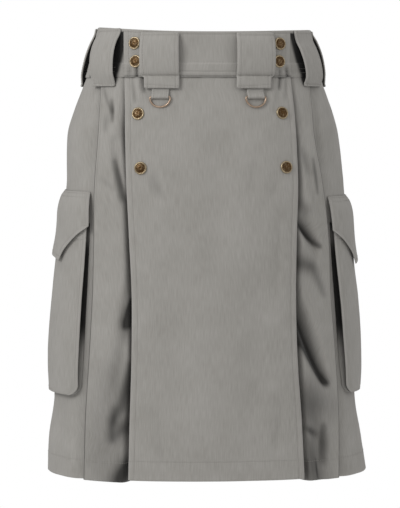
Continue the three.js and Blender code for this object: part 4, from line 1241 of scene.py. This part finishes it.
class KILT_OT_front_pleats(bpy.types.Operator):
    """Make the deep knife pleat at each side of the apron, in one with its side panel"""

    bl_idname = "kilt.front_pleats"
    bl_label = "Front pleats and side panels"

    def execute(self, context):
        for side, name in SIDES:
            self.panel(making_sizes(), side, name)
        return {"FINISHED"}

    def panel(self, sizes, side, name):
        z = panel_heights(HEM - STRIP_HEM_DROP, sizes.step)[:, None]
        edge = apron_angle(z, side > 0)
        fold = fold_angle(side, z)
        recess, lift, pitch = (read(LAYERS, key, z) for key in ("recess", "front_fold", "pitch"))
        width = distance_along(edge[:, 0], fold[:, 0], z[:, 0])[:, None]
        hidden = np.minimum(PLEAT_RETURN, PLEAT_RETURN_SHARE * width)
        inside = np.linspace(-PLEAT_INSIDE, 0, INSIDE_COLUMNS)[None, :-1]
        away = np.linspace(0, 1, PLEAT_COLUMNS)[None] * (width - pitch / 2)
        rise = np.exp(-((away / PLEAT_TURN) ** 2))
        kept = (1 - rise) * smoothstep(width - hidden - away, 0, PLEAT_FLAT)
        dent = troughs(away, z, PLEAT_TROUGHS, side) * kept
        fine = troughs(away, z, PLEAT_CREASES, side) * kept
        start = along(fold, z, -side * pitch / 2)
        inner = along(fold, z, -side * hidden)
        turn = np.linspace(0, 1, 9)[None, 1:-1]
        side_seam = np.full((1, 1), side * SIDE_SEAM) - side * SIDE_SEAM_GAP
        far = along(fold, z, side * PLEAT_UNDER)
        panel = lerp(far, side_seam, np.linspace(0, 1, PANEL_COLUMNS)[None])
        # The stretches from behind the apron round to the side seam.
        angle, out = join(
            (along(edge, z, side * inside), -recess + 0 * inside),
            (along(edge, z, side * away), lift - (recess + lift) * rise - dent - fine),
            fold_turn(start, z, lift, pitch, side, turn),
            flat_layer((fold, inner), (0.25, 0.6, 1), lift - pitch),
            fold_turn(inner, z, lift - pitch, pitch, -side, turn[:, ::2]),
            flat_layer((inner, fold), (0, 0.5, 1), lift - 2 * pitch),
            (panel, side_panel_out(side, panel, z)),
        )
        cloth = Cloth(plan(angle, tucked(z, out), out), sizes.cloth, outwards(angle, z))
        face = slice(inside.shape[1], inside.shape[1] + away.shape[1])
        first = angle.shape[1] - panel.shape[1]
        from_fold = distance_along(fold + 0 * panel, panel, z + 0 * panel)
        relief = hem_relief(cloth, 31 + side)
        relief[:, : face.start + 4] *= 0.3
        moved = self.waves(from_fold, z, 35 + side) - troughs(from_fold, z, SIDE_CREASES, side)
        relief[:, first:] += seam_relief(cloth, 33 + side)[:, first:] + self.free(side, panel, z) * moved
        shown = slice(face.start + 3, face.stop - 2)
        relief[:, shown] += 0.7 * self.waves(cloth.u[:, shown], z, 37 + side)
        relief[:, face.stop : first] = 0
        # Painted shade where little light reaches: the bottom of the recess, the deep troughs and the cloth
        # under a belt loop.
        dark = 0.5 * rise**6 + troughs(away, z, PLEAT_SHADES, side)
        cloth.shade[:, : face.start] = RECESS_SHADE
        cloth.shade[:, face] = np.clip(np.maximum(dark, self.under_loop_shade(side, angle[:, face], z)), 0, 0.9)
        cloth.shade[:, face.stop : first + 1] = PLEAT_FOLD_SHADE
        # Painted shade in a thin line on the side panel beside the fold.
        near_fold = np.exp(-(((from_fold - PLEAT_UNDER) / 1.6) ** 2))
        beside_fold = lerp(*BESIDE_FOLD_SHADES, smoothstep(-z, 260, 420)) * smoothstep(-z, 60, 130)
        cloth.shade[:, first:] += beside_fold * near_fold
        cloth.lift(relief * smoothstep(-z, *SEAM_EASE))
        label = f"front_pleat_side_panel_{name}"
        cloth_piece(f"{label}_cloth", cloth, [label])
        edge_stitch = cloth.u[:, face.stop - 1] - FOLD_STITCH
        stitched = slice(0, int((z[:, 0] > FOLD_STITCH_END["front"]).sum()))
        runs = [cloth.line_down(edge_stitch, stitched)]
        runs.append(cloth.line_across(-sizes.hem, face))
        runs.append(cloth.line_across(-sizes.hem, slice(first + 3, None)))
        stitching(f"{label}_stitching", runs)

    def under_loop_shade(self, side, angle, z):
        """The painted shade at the end of a front side loop's hollow, which reaches a little below the
        waistband.
        """
        front = abs(HOLLOW_FRONT[side][1])
        away = np.abs(angle)
        across = smoothstep(away, front - 0.5, front + 1) * (1 - smoothstep(away, front + 7, front + 12))
        return LOOP_FOOT_SHADE * smoothstep(z, -44, -40) * across

    def waves(self, u, z, seed):
        return 0.45 * rumple(u, -z, 34, 60, seed) + 0.16 * rumple(u, -z, 13, 18, seed + 40)

    def free(self, side, panel, z):
        """Where no pocket holds the panel flat, from 0 to 1."""
        y = plan(panel, z)[..., 1]
        top, bottom = POCKET_MIDDLES[side]
        middle = lerp(top, bottom, np.clip((z - POCKET_TOP) / (POCKET_BOTTOM - POCKET_TOP), 0, 1))
        across = smoothstep(np.abs(y - middle), POCKET_HALF_WIDTH + 2, POCKET_HALF_WIDTH + 10)
        above = smoothstep(z, FLAP_TOP[side] + 2, FLAP_TOP[side] + 12)
        under = smoothstep(-z, -POCKET_BOTTOM + 4, -POCKET_BOTTOM + 14)
        return np.maximum(across, np.maximum(above, under))


class KILT_OT_back_pleats(bpy.types.Operator):
    """Make the two halves of the pleated back"""

    bl_idname = "kilt.back_pleats"
    bl_label = "Back pleats"

    def execute(self, context):
        for side, name in SIDES:
            self.half(making_sizes(), side, name)
        return {"FINISHED"}

    def half(self, sizes, side, name):
        z = panel_heights(HEM, sizes.step)[:, None]
        lift, pitch = read(LAYERS, "back_fold", z), read(LAYERS, "pitch", z)
        under = lift - 2 * pitch
        step = side * (LAST_BACK_FOLD - SIDE_SEAM) / BACK_PLEATS
        side_seam = side * SIDE_SEAM + side * SIDE_SEAM_GAP
        parts, folds = [], []
        rise, flat = np.linspace(0, 1, 8)[None], np.linspace(0, 1, 7)[None, 1:]
        turn = np.linspace(0, 1, 7)[None, 1:-1]
        for k in range(1, BACK_PLEATS + 1):
            fold = side * SIDE_SEAM + k * step + 0 * z
            start = along(fold, z, -side * pitch / 2)
            low = 0 * z + side_seam if k == 1 else along(fold - step, z, side * PLEAT_UNDER)
            foot = 0 * z if k == 1 else under
            high = along(fold, z, -side * (BACK_RETURN + pitch))
            inner = along(fold, z, -side * BACK_RETURN)
            parts += [
                (lerp(low, high, rise), lerp(foot, lift, smoothstep(rise, 0, 1))),
                (lerp(high, start, flat), lift + 0 * flat),
            ]
            folds.append(sum(part[0].shape[1] for part in parts) - 1)
            parts += [
                fold_turn(start, z, lift, pitch, side, turn),
                flat_layer((fold, inner), (0.3, 1), lift - pitch),
                fold_turn(inner, z, lift - pitch, pitch, -side, turn[:, ::2]),
                flat_layer((inner, fold), (0, 0.9), under),
            ]
        middle = along(0 * z + 180 * side, z, -side * SEAM_GAP / 2)
        parts.append(flat_layer((parts[-1][0][:, -1:], middle), (0.4, 1), under))
        angle, out = join(*parts)
        cloth = Cloth(plan(angle, tucked(z, out), out), sizes.cloth, outwards(angle, z))
        distance = distance_along(side * SIDE_SEAM + 0 * angle, angle, z + 0 * angle)
        facing = (cloth.normals() * outwards(angle, z)).sum(-1)
        shown = smoothstep(facing, 0.6, 0.95) * smoothstep(out - under, 0.3, 1)
        relief = 0.5 * rumple(distance, -z, 30, 70, 51 + side)
        relief += 0.18 * rumple(distance, -z, 12, 20, 53 + side)
        relief -= troughs(distance, z, BACK_CREASES, side)
        relief += hem_relief(cloth, 55 + side) + 0.5 * seam_relief(cloth, 57 + side)
        # Painted shade on the layers hidden under the folds; the middle band, which the last folds leave
        # open, gets less of it.
        exposed = smoothstep(np.abs(angle), LAST_BACK_FOLD, LAST_BACK_FOLD + 1.5)
        covered = 1 - smoothstep(out - under, 0.2, 3)
        cloth.shade = BACK_FOLD_SHADE * covered * (1 - BACK_MIDDLE_LIGHT * exposed)
        cloth.lift(relief * shown * smoothstep(-z, *SEAM_EASE))
        label = f"back_pleats_{name}"
        cloth_piece(f"{label}_cloth", cloth, [label])
        stitched = slice(0, int((z[:, 0] > FOLD_STITCH_END["back"]).sum()))
        runs = [cloth.line_down(cloth.u[:, k] - FOLD_STITCH, stitched) for k in folds]
        runs += self.outer_runs(cloth.line_across(-sizes.hem), facing[-6])
        stitching(f"{label}_stitching", runs)

    def outer_runs(self, line, facing):
        """The stretches of a line that lie on the outer layers."""
        seen = facing > 0.7
        runs, start = [], None
        for k, here in enumerate([*seen, False]):
            if here and start is None:
                start = k
            if not here and start is not None:
                if k - start > 3:
                    runs.append((line[0][start:k], line[1][start:k]))
                start = None
        return runs


def loop_cloth(angles, z, outs, thickness):
    """A belt loop from its edges' angles, heights and distances out, with rows down it."""
    margin = making_sizes().loop_margin
    width = float(distance_along(angles[0][0], angles[1][0], z[0]))
    share = spaced(0, width, 2.5, (margin, width - margin), 1.2)[None] / width
    angle = lerp(angles[0][:, None], angles[1][:, None], share)
    out = lerp(outs[0][:, None], outs[1][:, None], share)
    cloth = Cloth(plan(angle, z[:, None], out), thickness, outwards(angle, z[:, None] + 0 * angle))
    # Painted shade, near black, on the loop's inner face.
    cloth.inner_shade = LOOP_INNER_SHADE
    edge = np.minimum(cloth.u, cloth.right())
    relief = channel(edge - margin, 0.35, 0.9) - 0.4 * np.exp(-edge / 0.8)
    cloth.wear += 0.25 * np.exp(-edge / 1.5)
    return cloth, relief


class KILT_OT_belt_loops(bpy.types.Operator):
    """Make the eight wide belt loops"""

    bl_idname = "kilt.belt_loops"
    bl_label = "Belt loops"

    def execute(self, context):
        sizes = making_sizes()
        runs = []
        for side, name in SIDES:
            runs += self.front_loop(sizes, side, name)
        for name, loop in LOOPS.items():
            runs += self.other_loop(sizes, name, **loop)
        stitching("belt_loop_stitching", runs)
        return {"FINISHED"}

    def sew(self, sizes, name, cloth, relief, seams):
        """Makes a loop's piece and returns its rows of stitching, down both edges and along its seams."""
        relief = relief + sum(channel(cloth.v - seam, 0.5, 1.0) for seam in seams)
        cloth.lift(relief + 0.25 * rumple(cloth.u, cloth.v, 14, 20, len(name)))
        label = f"belt_loop_{name}"
        cloth_piece(f"{label}_cloth", cloth, [label])
        runs = [cloth.line_down(sizes.loop_margin), cloth.line_down(-sizes.loop_margin)]
        return runs + [cloth.line_across(seam) for seam in seams]

    def front_loop(self, sizes, side, name):
        heights = spaced(LOOP_TOP, LOOP_TAIL, 2, (LOOP_TOP - FRONT_LOOP_HEAD_STITCH, LOOP_SEAM), 1.2)
        out = read(FRONT_LOOP_PROFILE, "out", heights)
        middle = angle_at_x(np.full(len(heights), side * float(FRONT_LOOP_X)), heights)
        # Below its seam the loop's tail is narrower on its outer side.
        indent = FRONT_TAIL_INDENT * smoothstep(-heights, -LOOP_SEAM, 2.5 - LOOP_SEAM)
        left = along(middle, heights, -FRONT_LOOP_WIDTH / 2 + (indent if side < 0 else 0 * indent))
        right = along(middle, heights, FRONT_LOOP_WIDTH / 2 - (indent if side > 0 else 0 * indent))
        cloth, relief = loop_cloth((left, right), heights, (out, out), sizes.double_cloth)
        seam = LOOP_TOP - LOOP_SEAM + FRONT_LOOP_SEAM_STITCH
        seams = [FRONT_LOOP_HEAD_STITCH, seam, cloth.v[-1].mean() - LOOP_END_STITCH]
        return self.sew(sizes, f"front_{name}", cloth, relief, seams)

    def other_loop(self, sizes, name, top, bottom, bow, lean, skew):
        rise = float(waist_top(np.array(sum(top) / 2))) - WAIST_TOP
        down = np.linspace(0, 1, LOOP_ROWS)
        share = down**skew
        bowed = read(LOOP_PROFILE, "bow", -down)
        base = lerp(LOOP_HEAD_OUT, LOOP_FOOT_OUT, share)
        z = lerp(LOOP_TOP + rise, LOOP_BOTTOM, share)
        angles = [lerp(top[k], bottom[k], share) for k in (0, 1)]
        outs = [base + (bow + lean) * bowed, base + bow * bowed]
        cloth, relief = loop_cloth(angles, z, outs, sizes.double_cloth)
        seams = [LOOP_END_STITCH, cloth.v[-1].mean() - LOOP_END_STITCH]
        return self.sew(sizes, name, cloth, relief, seams)


def front_directions(x, z):
    """The directions along the front's cloth, up it and out of it, at a place on it."""
    sizes = making_sizes()

    def at(x, z):
        x, z = np.array(float(x)), np.array(float(z))
        if z > WAIST_BOTTOM:
            out = APRON_WAISTBAND_OUT + sizes.double_cloth / 2
        else:
            out = apron_surface(x, z) - troughs(x, z, APRON_CREASES) + sizes.apron_cloth / 2
        return plan(angle_at_x(x, z), z, out)

    step = 3
    across = unit(at(x + step, z) - at(x - step, z))
    up = unit(at(x, z + step) - at(x, z - step))
    out = unit(np.cross(across, up))
    return across, np.cross(out, across), out


def node_place(name):
    """The middle of a solid's box, in millimetres."""
    low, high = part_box(name)
    return np.array((low + high) / 2) / MM


class KILT_OT_snaps(bpy.types.Operator):
    """Make the fastened ring snaps"""

    bl_idname = "kilt.snaps"
    bl_label = "Snaps"

    def execute(self, context):
        radii, heights, rubbed = (SNAP_OUTLINE[key] for key in ("r", "h", "rub"))
        turns = np.linspace(0, 2 * math.pi, SNAP_SIDES, endpoint=False)
        rings = len(radii) - 1
        last = (rings - 1) * SNAP_SIDES
        faces = tube_faces(rings, SNAP_SIDES)
        for n in range(SNAP_SIDES):
            beside = (n + 1) % SNAP_SIDES
            faces.append((last + n, last + beside, last + SNAP_SIDES))
            faces.append((beside, n, last + SNAP_SIDES + 1))
        rub = [*np.repeat(rubbed[:-1], SNAP_SIDES), rubbed[-1], rubbed[-1]]
        for name, (x, z) in SNAPS.items():
            across, up, out = front_directions(x, z)
            # The cap stands on the cloth, half its height in from the middle of its solid.
            foot = node_place(name) - out * SNAP_HALF_HEIGHT
            points = [
                foot + across * r * math.cos(turn) + up * r * math.sin(turn) + out * h
                for r, h in zip(radii[:-1], heights[:-1])
                for turn in turns
            ]
            points += [foot + out * heights[-1], foot]
            made = new_mesh(f"{name}_cap", points, faces, {"rub": rub}, finish("antique_brass"))
            fit(made, "kilt", "snap_brass", name)
        return {"FINISHED"}


class KILT_OT_rings(bpy.types.Operator):
    """Make the D-rings and the cloth tabs that hold them"""

    bl_idname = "kilt.rings"
    bl_label = "D-rings and tabs"

    def execute(self, context):
        runs = []
        joints = {joint["child"]: joint for joint in frame["joints"]}
        for side, name in SIDES:
            joint = joints[f"ring_{name}"]
            bar = np.array(joint["pos_m"]) / MM
            across = -np.array(joint["axis"])
            out = unit(np.cross(across, front_directions(side * FRONT_LOOP_X, RING_BAR_Z)[1]))
            up = np.cross(out, across)
            self.ring(name, bar, across, up, out)
            runs += self.tab(name, bar, across, up, out)
        stitching("d_ring_tab_stitching", runs)
        return {"FINISHED"}

    def ring(self, name, bar, across, up, out):
        """A ring of wire: its straight bar, two small corners and its bow, hanging a little inwards."""
        straight, bow_depth = RING_HALF_WIDTH - RING_CORNER, RING_DEPTH - RING_CORNER
        corner = np.pi / 8 * np.arange(1, 4)
        turned = np.stack([straight + RING_CORNER * np.sin(corner), -RING_CORNER * (1 - np.cos(corner))], -1)
        bow = np.linspace(0, np.pi, RING_BOW_POINTS)
        rounded = np.stack([RING_HALF_WIDTH * np.cos(bow), -RING_CORNER - bow_depth * np.sin(bow)], -1)
        bar_line = np.linspace((-straight, 0), (straight, 0), RING_BAR_POINTS)
        line = np.concatenate([bar_line, turned, rounded, turned[::-1] * (-1, 1)])
        tilt = -RING_REST_TILT
        down, face = up * math.cos(tilt) + out * math.sin(tilt), out * math.cos(tilt) - up * math.sin(tilt)
        turns = np.linspace(0, 2 * math.pi, WIRE_SIDES, endpoint=False)
        points = []
        for k, (x, y) in enumerate(line):
            ahead = unit(line[(k + 1) % len(line)] - line[k - 1])
            aside = across * ahead[1] - down * ahead[0]
            middle = bar + across * x + down * y
            points += [middle + RING_WIRE * (aside * math.cos(t) + face * math.sin(t)) for t in turns]
        faces = tube_faces(len(line), WIRE_SIDES, closed=True)
        made = new_mesh(f"d_ring_{name}_wire", points, faces, {}, finish("brass_wire"))
        fit(made, f"ring_{name}", "ring_brass", f"d_ring_{name}")

    def tab(self, name, bar, across, up, out):
        """A strip from behind the belt loop's tail down round the ring's bar and up again."""
        turn = RING_WIRE + TAB_CLEARANCE + TAB_CLOTH / 2
        layer = (TAB_CLOTH + SEAM_GAP) / 2
        top, closes, backing = TAB_TOP - RING_BAR_Z, turn * 2.2, turn - layer
        # The route's height over the bar and its distance out of it, down the front, round and up the back.
        front = [
            (top, layer - backing),
            (closes + 5, layer - backing),
            (closes, layer - backing * 0.8),
            (turn * 0.9, turn * 0.82),
        ]
        bend = np.linspace(0, np.pi, 13)
        round_bar = np.stack([-turn * np.sin(bend), turn * np.cos(bend)], -1)
        back = [(height, -layer - backing) for height in (closes, closes + 5, top)]
        route = np.concatenate([front, round_bar, back])[:, None]
        half = TAB_WIDTH / 2
        places = spaced(-half, half, 2, (-half + TAB_STITCH, half - TAB_STITCH), 0.8)[None, :, None]
        points = bar + route[..., :1] * up + route[..., 1:] * out + places * across
        # Only its front faces out, so the turn of its face is set there.
        outward = np.zeros_like(points)
        outward[1, 1] = out
        cloth = Cloth(points, TAB_CLOTH, outward)
        cloth.wear += 0.25 * np.exp(-np.minimum(cloth.u, cloth.right()) / 1.5)
        label = f"d_ring_tab_{name}"
        cloth_piece(f"{label}_cloth", cloth, [label])
        stitched = slice(0, 6)
        return [cloth.line_down(TAB_STITCH, stitched), cloth.line_down(-TAB_STITCH, stitched)]


def over_side_panel(side, place, z, out):
    """Points over the side panel at places across a pocket."""
    angle = pocket_angle(side, place, np.clip(z, POCKET_BOTTOM, POCKET_TOP))
    fold = fold_angle(side, np.clip(z, POCKET_BOTTOM, POCKET_TOP))
    share = (angle - fold) / (side * SIDE_SEAM - fold)
    angle = lerp(fold_angle(side, z), side * SIDE_SEAM, share)
    return plan(angle, z, side_panel_out(side, angle, z) + out), outwards(angle, z)


def pocket_thickness(share, z):
    middle, edge = read(POCKET_THICKNESS, "middle", z), read(POCKET_THICKNESS, "edge", z)
    return lerp(middle, edge, np.minimum(share * share, 1))


class KILT_OT_pockets(bpy.types.Operator):
    """Make the two cargo pockets with their gussets and pointed flaps"""

    bl_idname = "kilt.pockets"
    bl_label = "Cargo pockets"

    def execute(self, context):
        sizes = making_sizes()
        for side, name in SIDES:
            self.gusset(sizes, side, name)
            runs = self.face(sizes, side, name) + self.flap(sizes, side, name)
            stitching(f"pocket_{name}_stitching", runs)
        return {"FINISHED"}

    def face(self, sizes, side, name):
        """The pocket's face: rounded below, with a turned hem along its open mouth."""
        straight = spaced(POCKET_TOP, POCKET_BOTTOM + POCKET_CORNER, sizes.step, (POCKET_TOP - POCKET_HEM,))
        turn = np.linspace(0, np.pi / 2, FACE_CORNER_ROWS)[1:]
        rounded = POCKET_BOTTOM + POCKET_CORNER * (1 - np.sin(turn))
        z = np.concatenate([straight, rounded])[:, None]
        below = POCKET_CORNER - np.minimum(z - POCKET_BOTTOM, POCKET_CORNER)
        half = POCKET_HALF_WIDTH - POCKET_CORNER + np.sqrt(POCKET_CORNER**2 - below**2)
        inset = POCKET_STITCH / POCKET_HALF_WIDTH
        place = spaced(-1, 1, 0.034, (-1 + inset, 1 - inset), 0.012)[None] * half
        out = pocket_thickness(place / POCKET_HALF_WIDTH, z) - POCKET_WALL / 2
        points, outward = over_side_panel(side, place, z + 0 * place, PANEL_FACE + POCKET_GAP + out)
        cloth = Cloth(points, sizes.cloth, outward)
        edge = np.minimum(half - np.abs(place), cloth.below() * 0.98)
        relief = 0.9 * rumple(cloth.u, cloth.v, 40, 60, 61 + side) * smoothstep(edge, 0, 12)
        relief += 0.2 * rumple(cloth.u, cloth.v, 14, 20, 63 + side)
        # The hem's layer ends under its stitching.
        relief += channel(cloth.v - POCKET_HEM) - 0.4 * smoothstep(cloth.v - POCKET_HEM, -0.5, 1)
        relief += channel(edge - POCKET_STITCH)
        cloth.wear += 0.3 * np.exp(-edge / 2)
        cloth.lift(relief)
        label = f"pocket_face_{name}"
        cloth_piece(f"{label}_cloth", cloth, [label])
        rows = slice(0, len(z) - FACE_CORNER_ROWS)
        return [
            cloth.line_across(POCKET_HEM, slice(2, -2)),
            cloth.line_down(POCKET_STITCH, rows),
            cloth.line_down(-POCKET_STITCH, rows),
            cloth.line_across(-POCKET_STITCH, slice(6, -6)),
        ]

    def gusset(self, sizes, side, name):
        """The strip between the panel and the pocket's face, folded inwards along its middle."""
        # Its route round half the pocket: down the side, round the corner and along the floor to the middle.
        straight = spaced(POCKET_TOP, POCKET_BOTTOM + POCKET_CORNER, 2 * sizes.step)
        corner = np.linspace(0, np.pi / 2, 9)[1:]
        floor = np.linspace(POCKET_HALF_WIDTH - POCKET_CORNER, 0, 20)[1:]
        rounded = POCKET_HALF_WIDTH - POCKET_CORNER * (1 - np.cos(corner))
        lowered = POCKET_BOTTOM + POCKET_CORNER * (1 - np.sin(corner))
        place = np.concatenate([0 * straight + POCKET_HALF_WIDTH, rounded, floor])
        z = np.concatenate([straight, lowered, 0 * floor + POCKET_BOTTOM])
        turn = np.concatenate([0 * straight, corner, 0 * floor + np.pi / 2])
        # The other half mirrors it.
        mirror = slice(-2, None, -1)
        aside = np.concatenate([-np.cos(turn), np.cos(turn)[mirror]])[:, None]
        place = np.concatenate([place, -place[mirror]])[:, None]
        z, turn = (np.concatenate([one, one[mirror]])[:, None] for one in (z, turn))
        deep = pocket_thickness(place / POCKET_HALF_WIDTH, z) - POCKET_WALL - SEAM_GAP
        tuck = POCKET_GUSSET * pocket_thickness(1.0, z)
        share = np.linspace(0, 1, 9)[None]
        folded = 1 - np.abs(2 * share - 1) ** 1.3
        slant = np.arctan2(deep / 2, tuck)
        move = POCKET_WALL / 2 * np.sin(slant) + tuck * folded
        lift = POCKET_WALL / 2 * np.cos(slant)
        out = PANEL_FACE + POCKET_GAP + lerp(lift, deep - lift, share)
        points, _ = over_side_panel(side, place + move * aside, z + move * np.sin(turn), out)
        # The folded strip shows its outer face to the sides and below.
        cloth = Cloth(points, sizes.cloth, self.outer_side(side, place, z, aside, turn))
        # Painted shade, near black, in the folded gusset. The fold closes towards the pocket's bottom and
        # lets light onto its outer half there, so less shade is painted there.
        open_fold = lerp(1, smoothstep(share, 0.4, 0.7), smoothstep(-z, 370, 425))
        cloth.shade += (0.97 - 0.3 * np.exp(-(((z + 250) / 12) ** 2))) * open_fold
        label = f"pocket_gusset_{name}"
        cloth_piece(f"{label}_cloth", cloth, [label])

    def outer_side(self, side, place, z, aside, turn):
        """The directions away from the middle of the pocket, for each row of its gusset."""
        step = 5
        here, _ = over_side_panel(side, place, z, 0 * place)
        inner, _ = over_side_panel(side, place + step * aside, z + step * np.sin(turn), 0 * place)
        return here - inner

    def flap(self, sizes, side, name):
        """The flap: straight rows where it is fixed, then rows that slant towards its point."""
        drop = spaced(0, FLAP_FIXED, 1.8, FLAP_SEAMS, 0.9)
        share_down = np.concatenate([0 * drop, np.linspace(0, 1, FLAP_LOWER_ROWS + 1)[1:]])[:, None]
        drop = np.concatenate([drop, np.full(FLAP_LOWER_ROWS, float(FLAP_FIXED))])[:, None]
        across = np.linspace(-1, 1, FLAP_COLUMNS)[None]
        reach = np.interp(np.abs(across), *FLAP_LENGTHS)
        z = FLAP_TOP[side] - drop - share_down * (reach - FLAP_FIXED)
        stand = read(FLAP_RISE, "stand", -drop)
        half = POCKET_HALF_WIDTH + FLAP_OVERHANG * stand * smoothstep(np.abs(across), 0.6, 1)
        start = PANEL_FACE + FLAP_GAP + sizes.flap_cloth / 2
        over = pocket_thickness(across, z) + FLAP_STAND + FLAP_TIP_LIFT * share_down**2
        points, outward = over_side_panel(side, across * half, z, start + over * stand)
        cloth = Cloth(points, sizes.flap_cloth, outward)
        cloth.level_rows = slice(0, 1 - FLAP_LOWER_ROWS)
        slant = np.abs(np.gradient(reach[0], across[0] * POCKET_HALF_WIDTH))[None]
        lean = 1 / np.sqrt(1 + slant**2)
        edge = np.minimum(np.minimum(cloth.u, cloth.right()), lean * cloth.below())
        relief = 0.5 * rumple(cloth.u, cloth.v, 30, 30, 71 + side) * smoothstep(drop, 4, 20)
        relief += channel(edge - FLAP_STITCH, 0.3, 1.2)
        relief += sum(channel(cloth.v - seam, 0.3, 0.9) for seam in FLAP_SEAMS)
        cloth.wear += 0.35 * np.exp(-edge / 1.5)
        cloth.lift(relief - 0.3 * np.exp(-edge / 0.8))
        label = f"pocket_flap_{name}"
        cloth_piece(f"{label}_cloth", cloth, [label])
        rows = slice(4, -14)
        runs = [cloth.line_across(seam, slice(2, -2)) for seam in FLAP_SEAMS]
        runs.append(cloth.line_across(-FLAP_STITCH / lean[0], slice(4, -4)))
        return runs + [cloth.line_down(FLAP_STITCH, rows), cloth.line_down(-FLAP_STITCH, rows)]


PHOTO_WIDTH, PHOTO_HEIGHT = 400, 508  # pixels
CAMERA_DISTANCE, CAMERA_AZIMUTH = 3500, -2.5  # mm, degrees
CAMERA_Z = -71.5  # mm
PIXEL = 1.42  # mm at the kilt's axis
HORIZON_ROW, AXIS_COLUMN = 107, 204
SENSOR = 36.0  # mm along the photo's longer side
FLOOR_Z = -1020  # mm, the floor that a wearer of this height would stand on
FLOOR_RADIUS, FLOOR_SIDES = 1700, 96  # mm, a round of paper that the photo's own angle looks over
ROOM_LIGHT, BACKDROP = 0.46, 1.0  # the brightness of the white room, as light and as it shows
LIGHTS_AIM = -280  # mm, the height that the lights point to
# Azimuth and elevation in degrees, distance and size in millimetres, and power in watts of each soft box.
SOFT_BOXES = {
    "key": (-48, 30, 2400, 1000, 19),
    "fill": (60, 18, 2600, 900, 4.5),
    "top": (10, 78, 2200, 1500, 4.5),
}


class KILT_OT_stage(bpy.types.Operator):
    """Make the white floor, the soft lights and the camera"""

    bl_idname = "kilt.stage"
    bl_label = "Stage"

    def execute(self, context):
        scene = context.scene
        scene.view_settings.view_transform = "Standard"
        self.floor()
        self.lights(scene)
        self.camera(scene)
        return {"FINISHED"}

    def floor(self):
        turns = np.linspace(0, 2 * math.pi, FLOOR_SIDES, endpoint=False)
        points = [(FLOOR_RADIUS * math.cos(t), FLOOR_RADIUS * math.sin(t), FLOOR_Z) for t in turns]
        made = new_mesh("floor", points, [tuple(range(len(points)))], {}, finish("studio_paper"))

    def lights(self, scene):
        world = bpy.data.worlds.new("studio")
        scene.world = world
        world.use_nodes = True
        tree = world.node_tree
        tree.nodes.clear()
        room = node(tree, "ShaderNodeBackground", Color=(1.0, 1.0, 1.0, 1.0), Strength=ROOM_LIGHT)
        seen = node(tree, "ShaderNodeBackground", Color=(1.0, 1.0, 1.0, 1.0), Strength=BACKDROP)
        path = node(tree, "ShaderNodeLightPath").outputs["Is Camera Ray"]
        both = node(tree, "ShaderNodeMixShader", in0=path, in1=room.outputs[0], in2=seen.outputs[0])
        node(tree, "ShaderNodeOutputWorld", in0=both.outputs[0])
        for name, (azimuth, rise, distance, size, watts) in SOFT_BOXES.items():
            light = bpy.data.lights.new(name, "AREA")
            light.size = size * MM
            light.energy = watts
            made = bpy.data.objects.new(name, light)
            a, e = math.radians(azimuth), math.radians(rise)
            back = Vector((math.sin(a) * math.cos(e), -math.cos(a) * math.cos(e), math.sin(e)))
            made.location = (Vector((0, 0, LIGHTS_AIM)) + back * distance) * MM
            made.rotation_euler = (-back).to_track_quat("-Z", "Y").to_euler()
            scene.collection.objects.link(made)

    def camera(self, scene):
        turn = math.radians(CAMERA_AZIMUTH)
        aside = Vector((math.cos(turn), math.sin(turn), 0))
        drop = (PHOTO_HEIGHT / 2 - HORIZON_ROW) * PIXEL
        spot = Vector((math.sin(turn), -math.cos(turn), 0)) * CAMERA_DISTANCE + Vector((0, 0, CAMERA_Z))
        aim = aside * (PHOTO_WIDTH / 2 - AXIS_COLUMN) * PIXEL + Vector((0, 0, CAMERA_Z - drop))
        data = bpy.data.cameras.new("camera")
        data.sensor_width = SENSOR
        data.lens = SENSOR * (aim - spot).length / (PHOTO_HEIGHT * PIXEL)
        data.clip_start, data.clip_end = 0.1, 30
        made = bpy.data.objects.new("camera", data)
        made.location = spot * MM
        made.rotation_euler = (aim - spot).to_track_quat("-Z", "Y").to_euler()
        scene.collection.objects.link(made)
        scene.camera = made


class KILT_PT_panel(bpy.types.Panel):
    """The kilt's pieces, sizes and colours"""

    bl_idname = "KILT_PT_panel"
    bl_label = "Utility kilt"
    bl_space_type = "VIEW_3D"
    bl_region_type = "UI"
    bl_category = "Kilt"

    def draw(self, context):
        column = self.layout.column(align=True)
        for one in OPERATORS:
            column.operator(one.bl_idname)
        for group in (context.scene.kilt_sizes, context.scene.kilt_colours):
            column = self.layout.column()
            for key in group.bl_rna.properties.keys():
                if key not in ("rna_type", "name"):
                    column.prop(group, key)


OPERATORS = (
    KILT_OT_stage,
    KILT_OT_waistbands,
    KILT_OT_apron,
    KILT_OT_front_pleats,
    KILT_OT_back_pleats,
    KILT_OT_belt_loops,
    KILT_OT_snaps,
    KILT_OT_rings,
    KILT_OT_pockets,
)
CLASSES = (KiltSizes, KiltColours, *OPERATORS, KILT_PT_panel)


def register():
    for one in CLASSES:
        bpy.utils.register_class(one)
    bpy.types.Scene.kilt_sizes = PointerProperty(type=KiltSizes)
    bpy.types.Scene.kilt_colours = PointerProperty(type=KiltColours)


def unregister():
    del bpy.types.Scene.kilt_colours
    del bpy.types.Scene.kilt_sizes
    for one in reversed(CLASSES):
        bpy.utils.unregister_class(one)


def main():
    register()
    for one in OPERATORS:
        group, call = one.bl_idname.split(".")
        getattr(getattr(bpy.ops, group), call)()


if __name__ == "__main__":
    main()
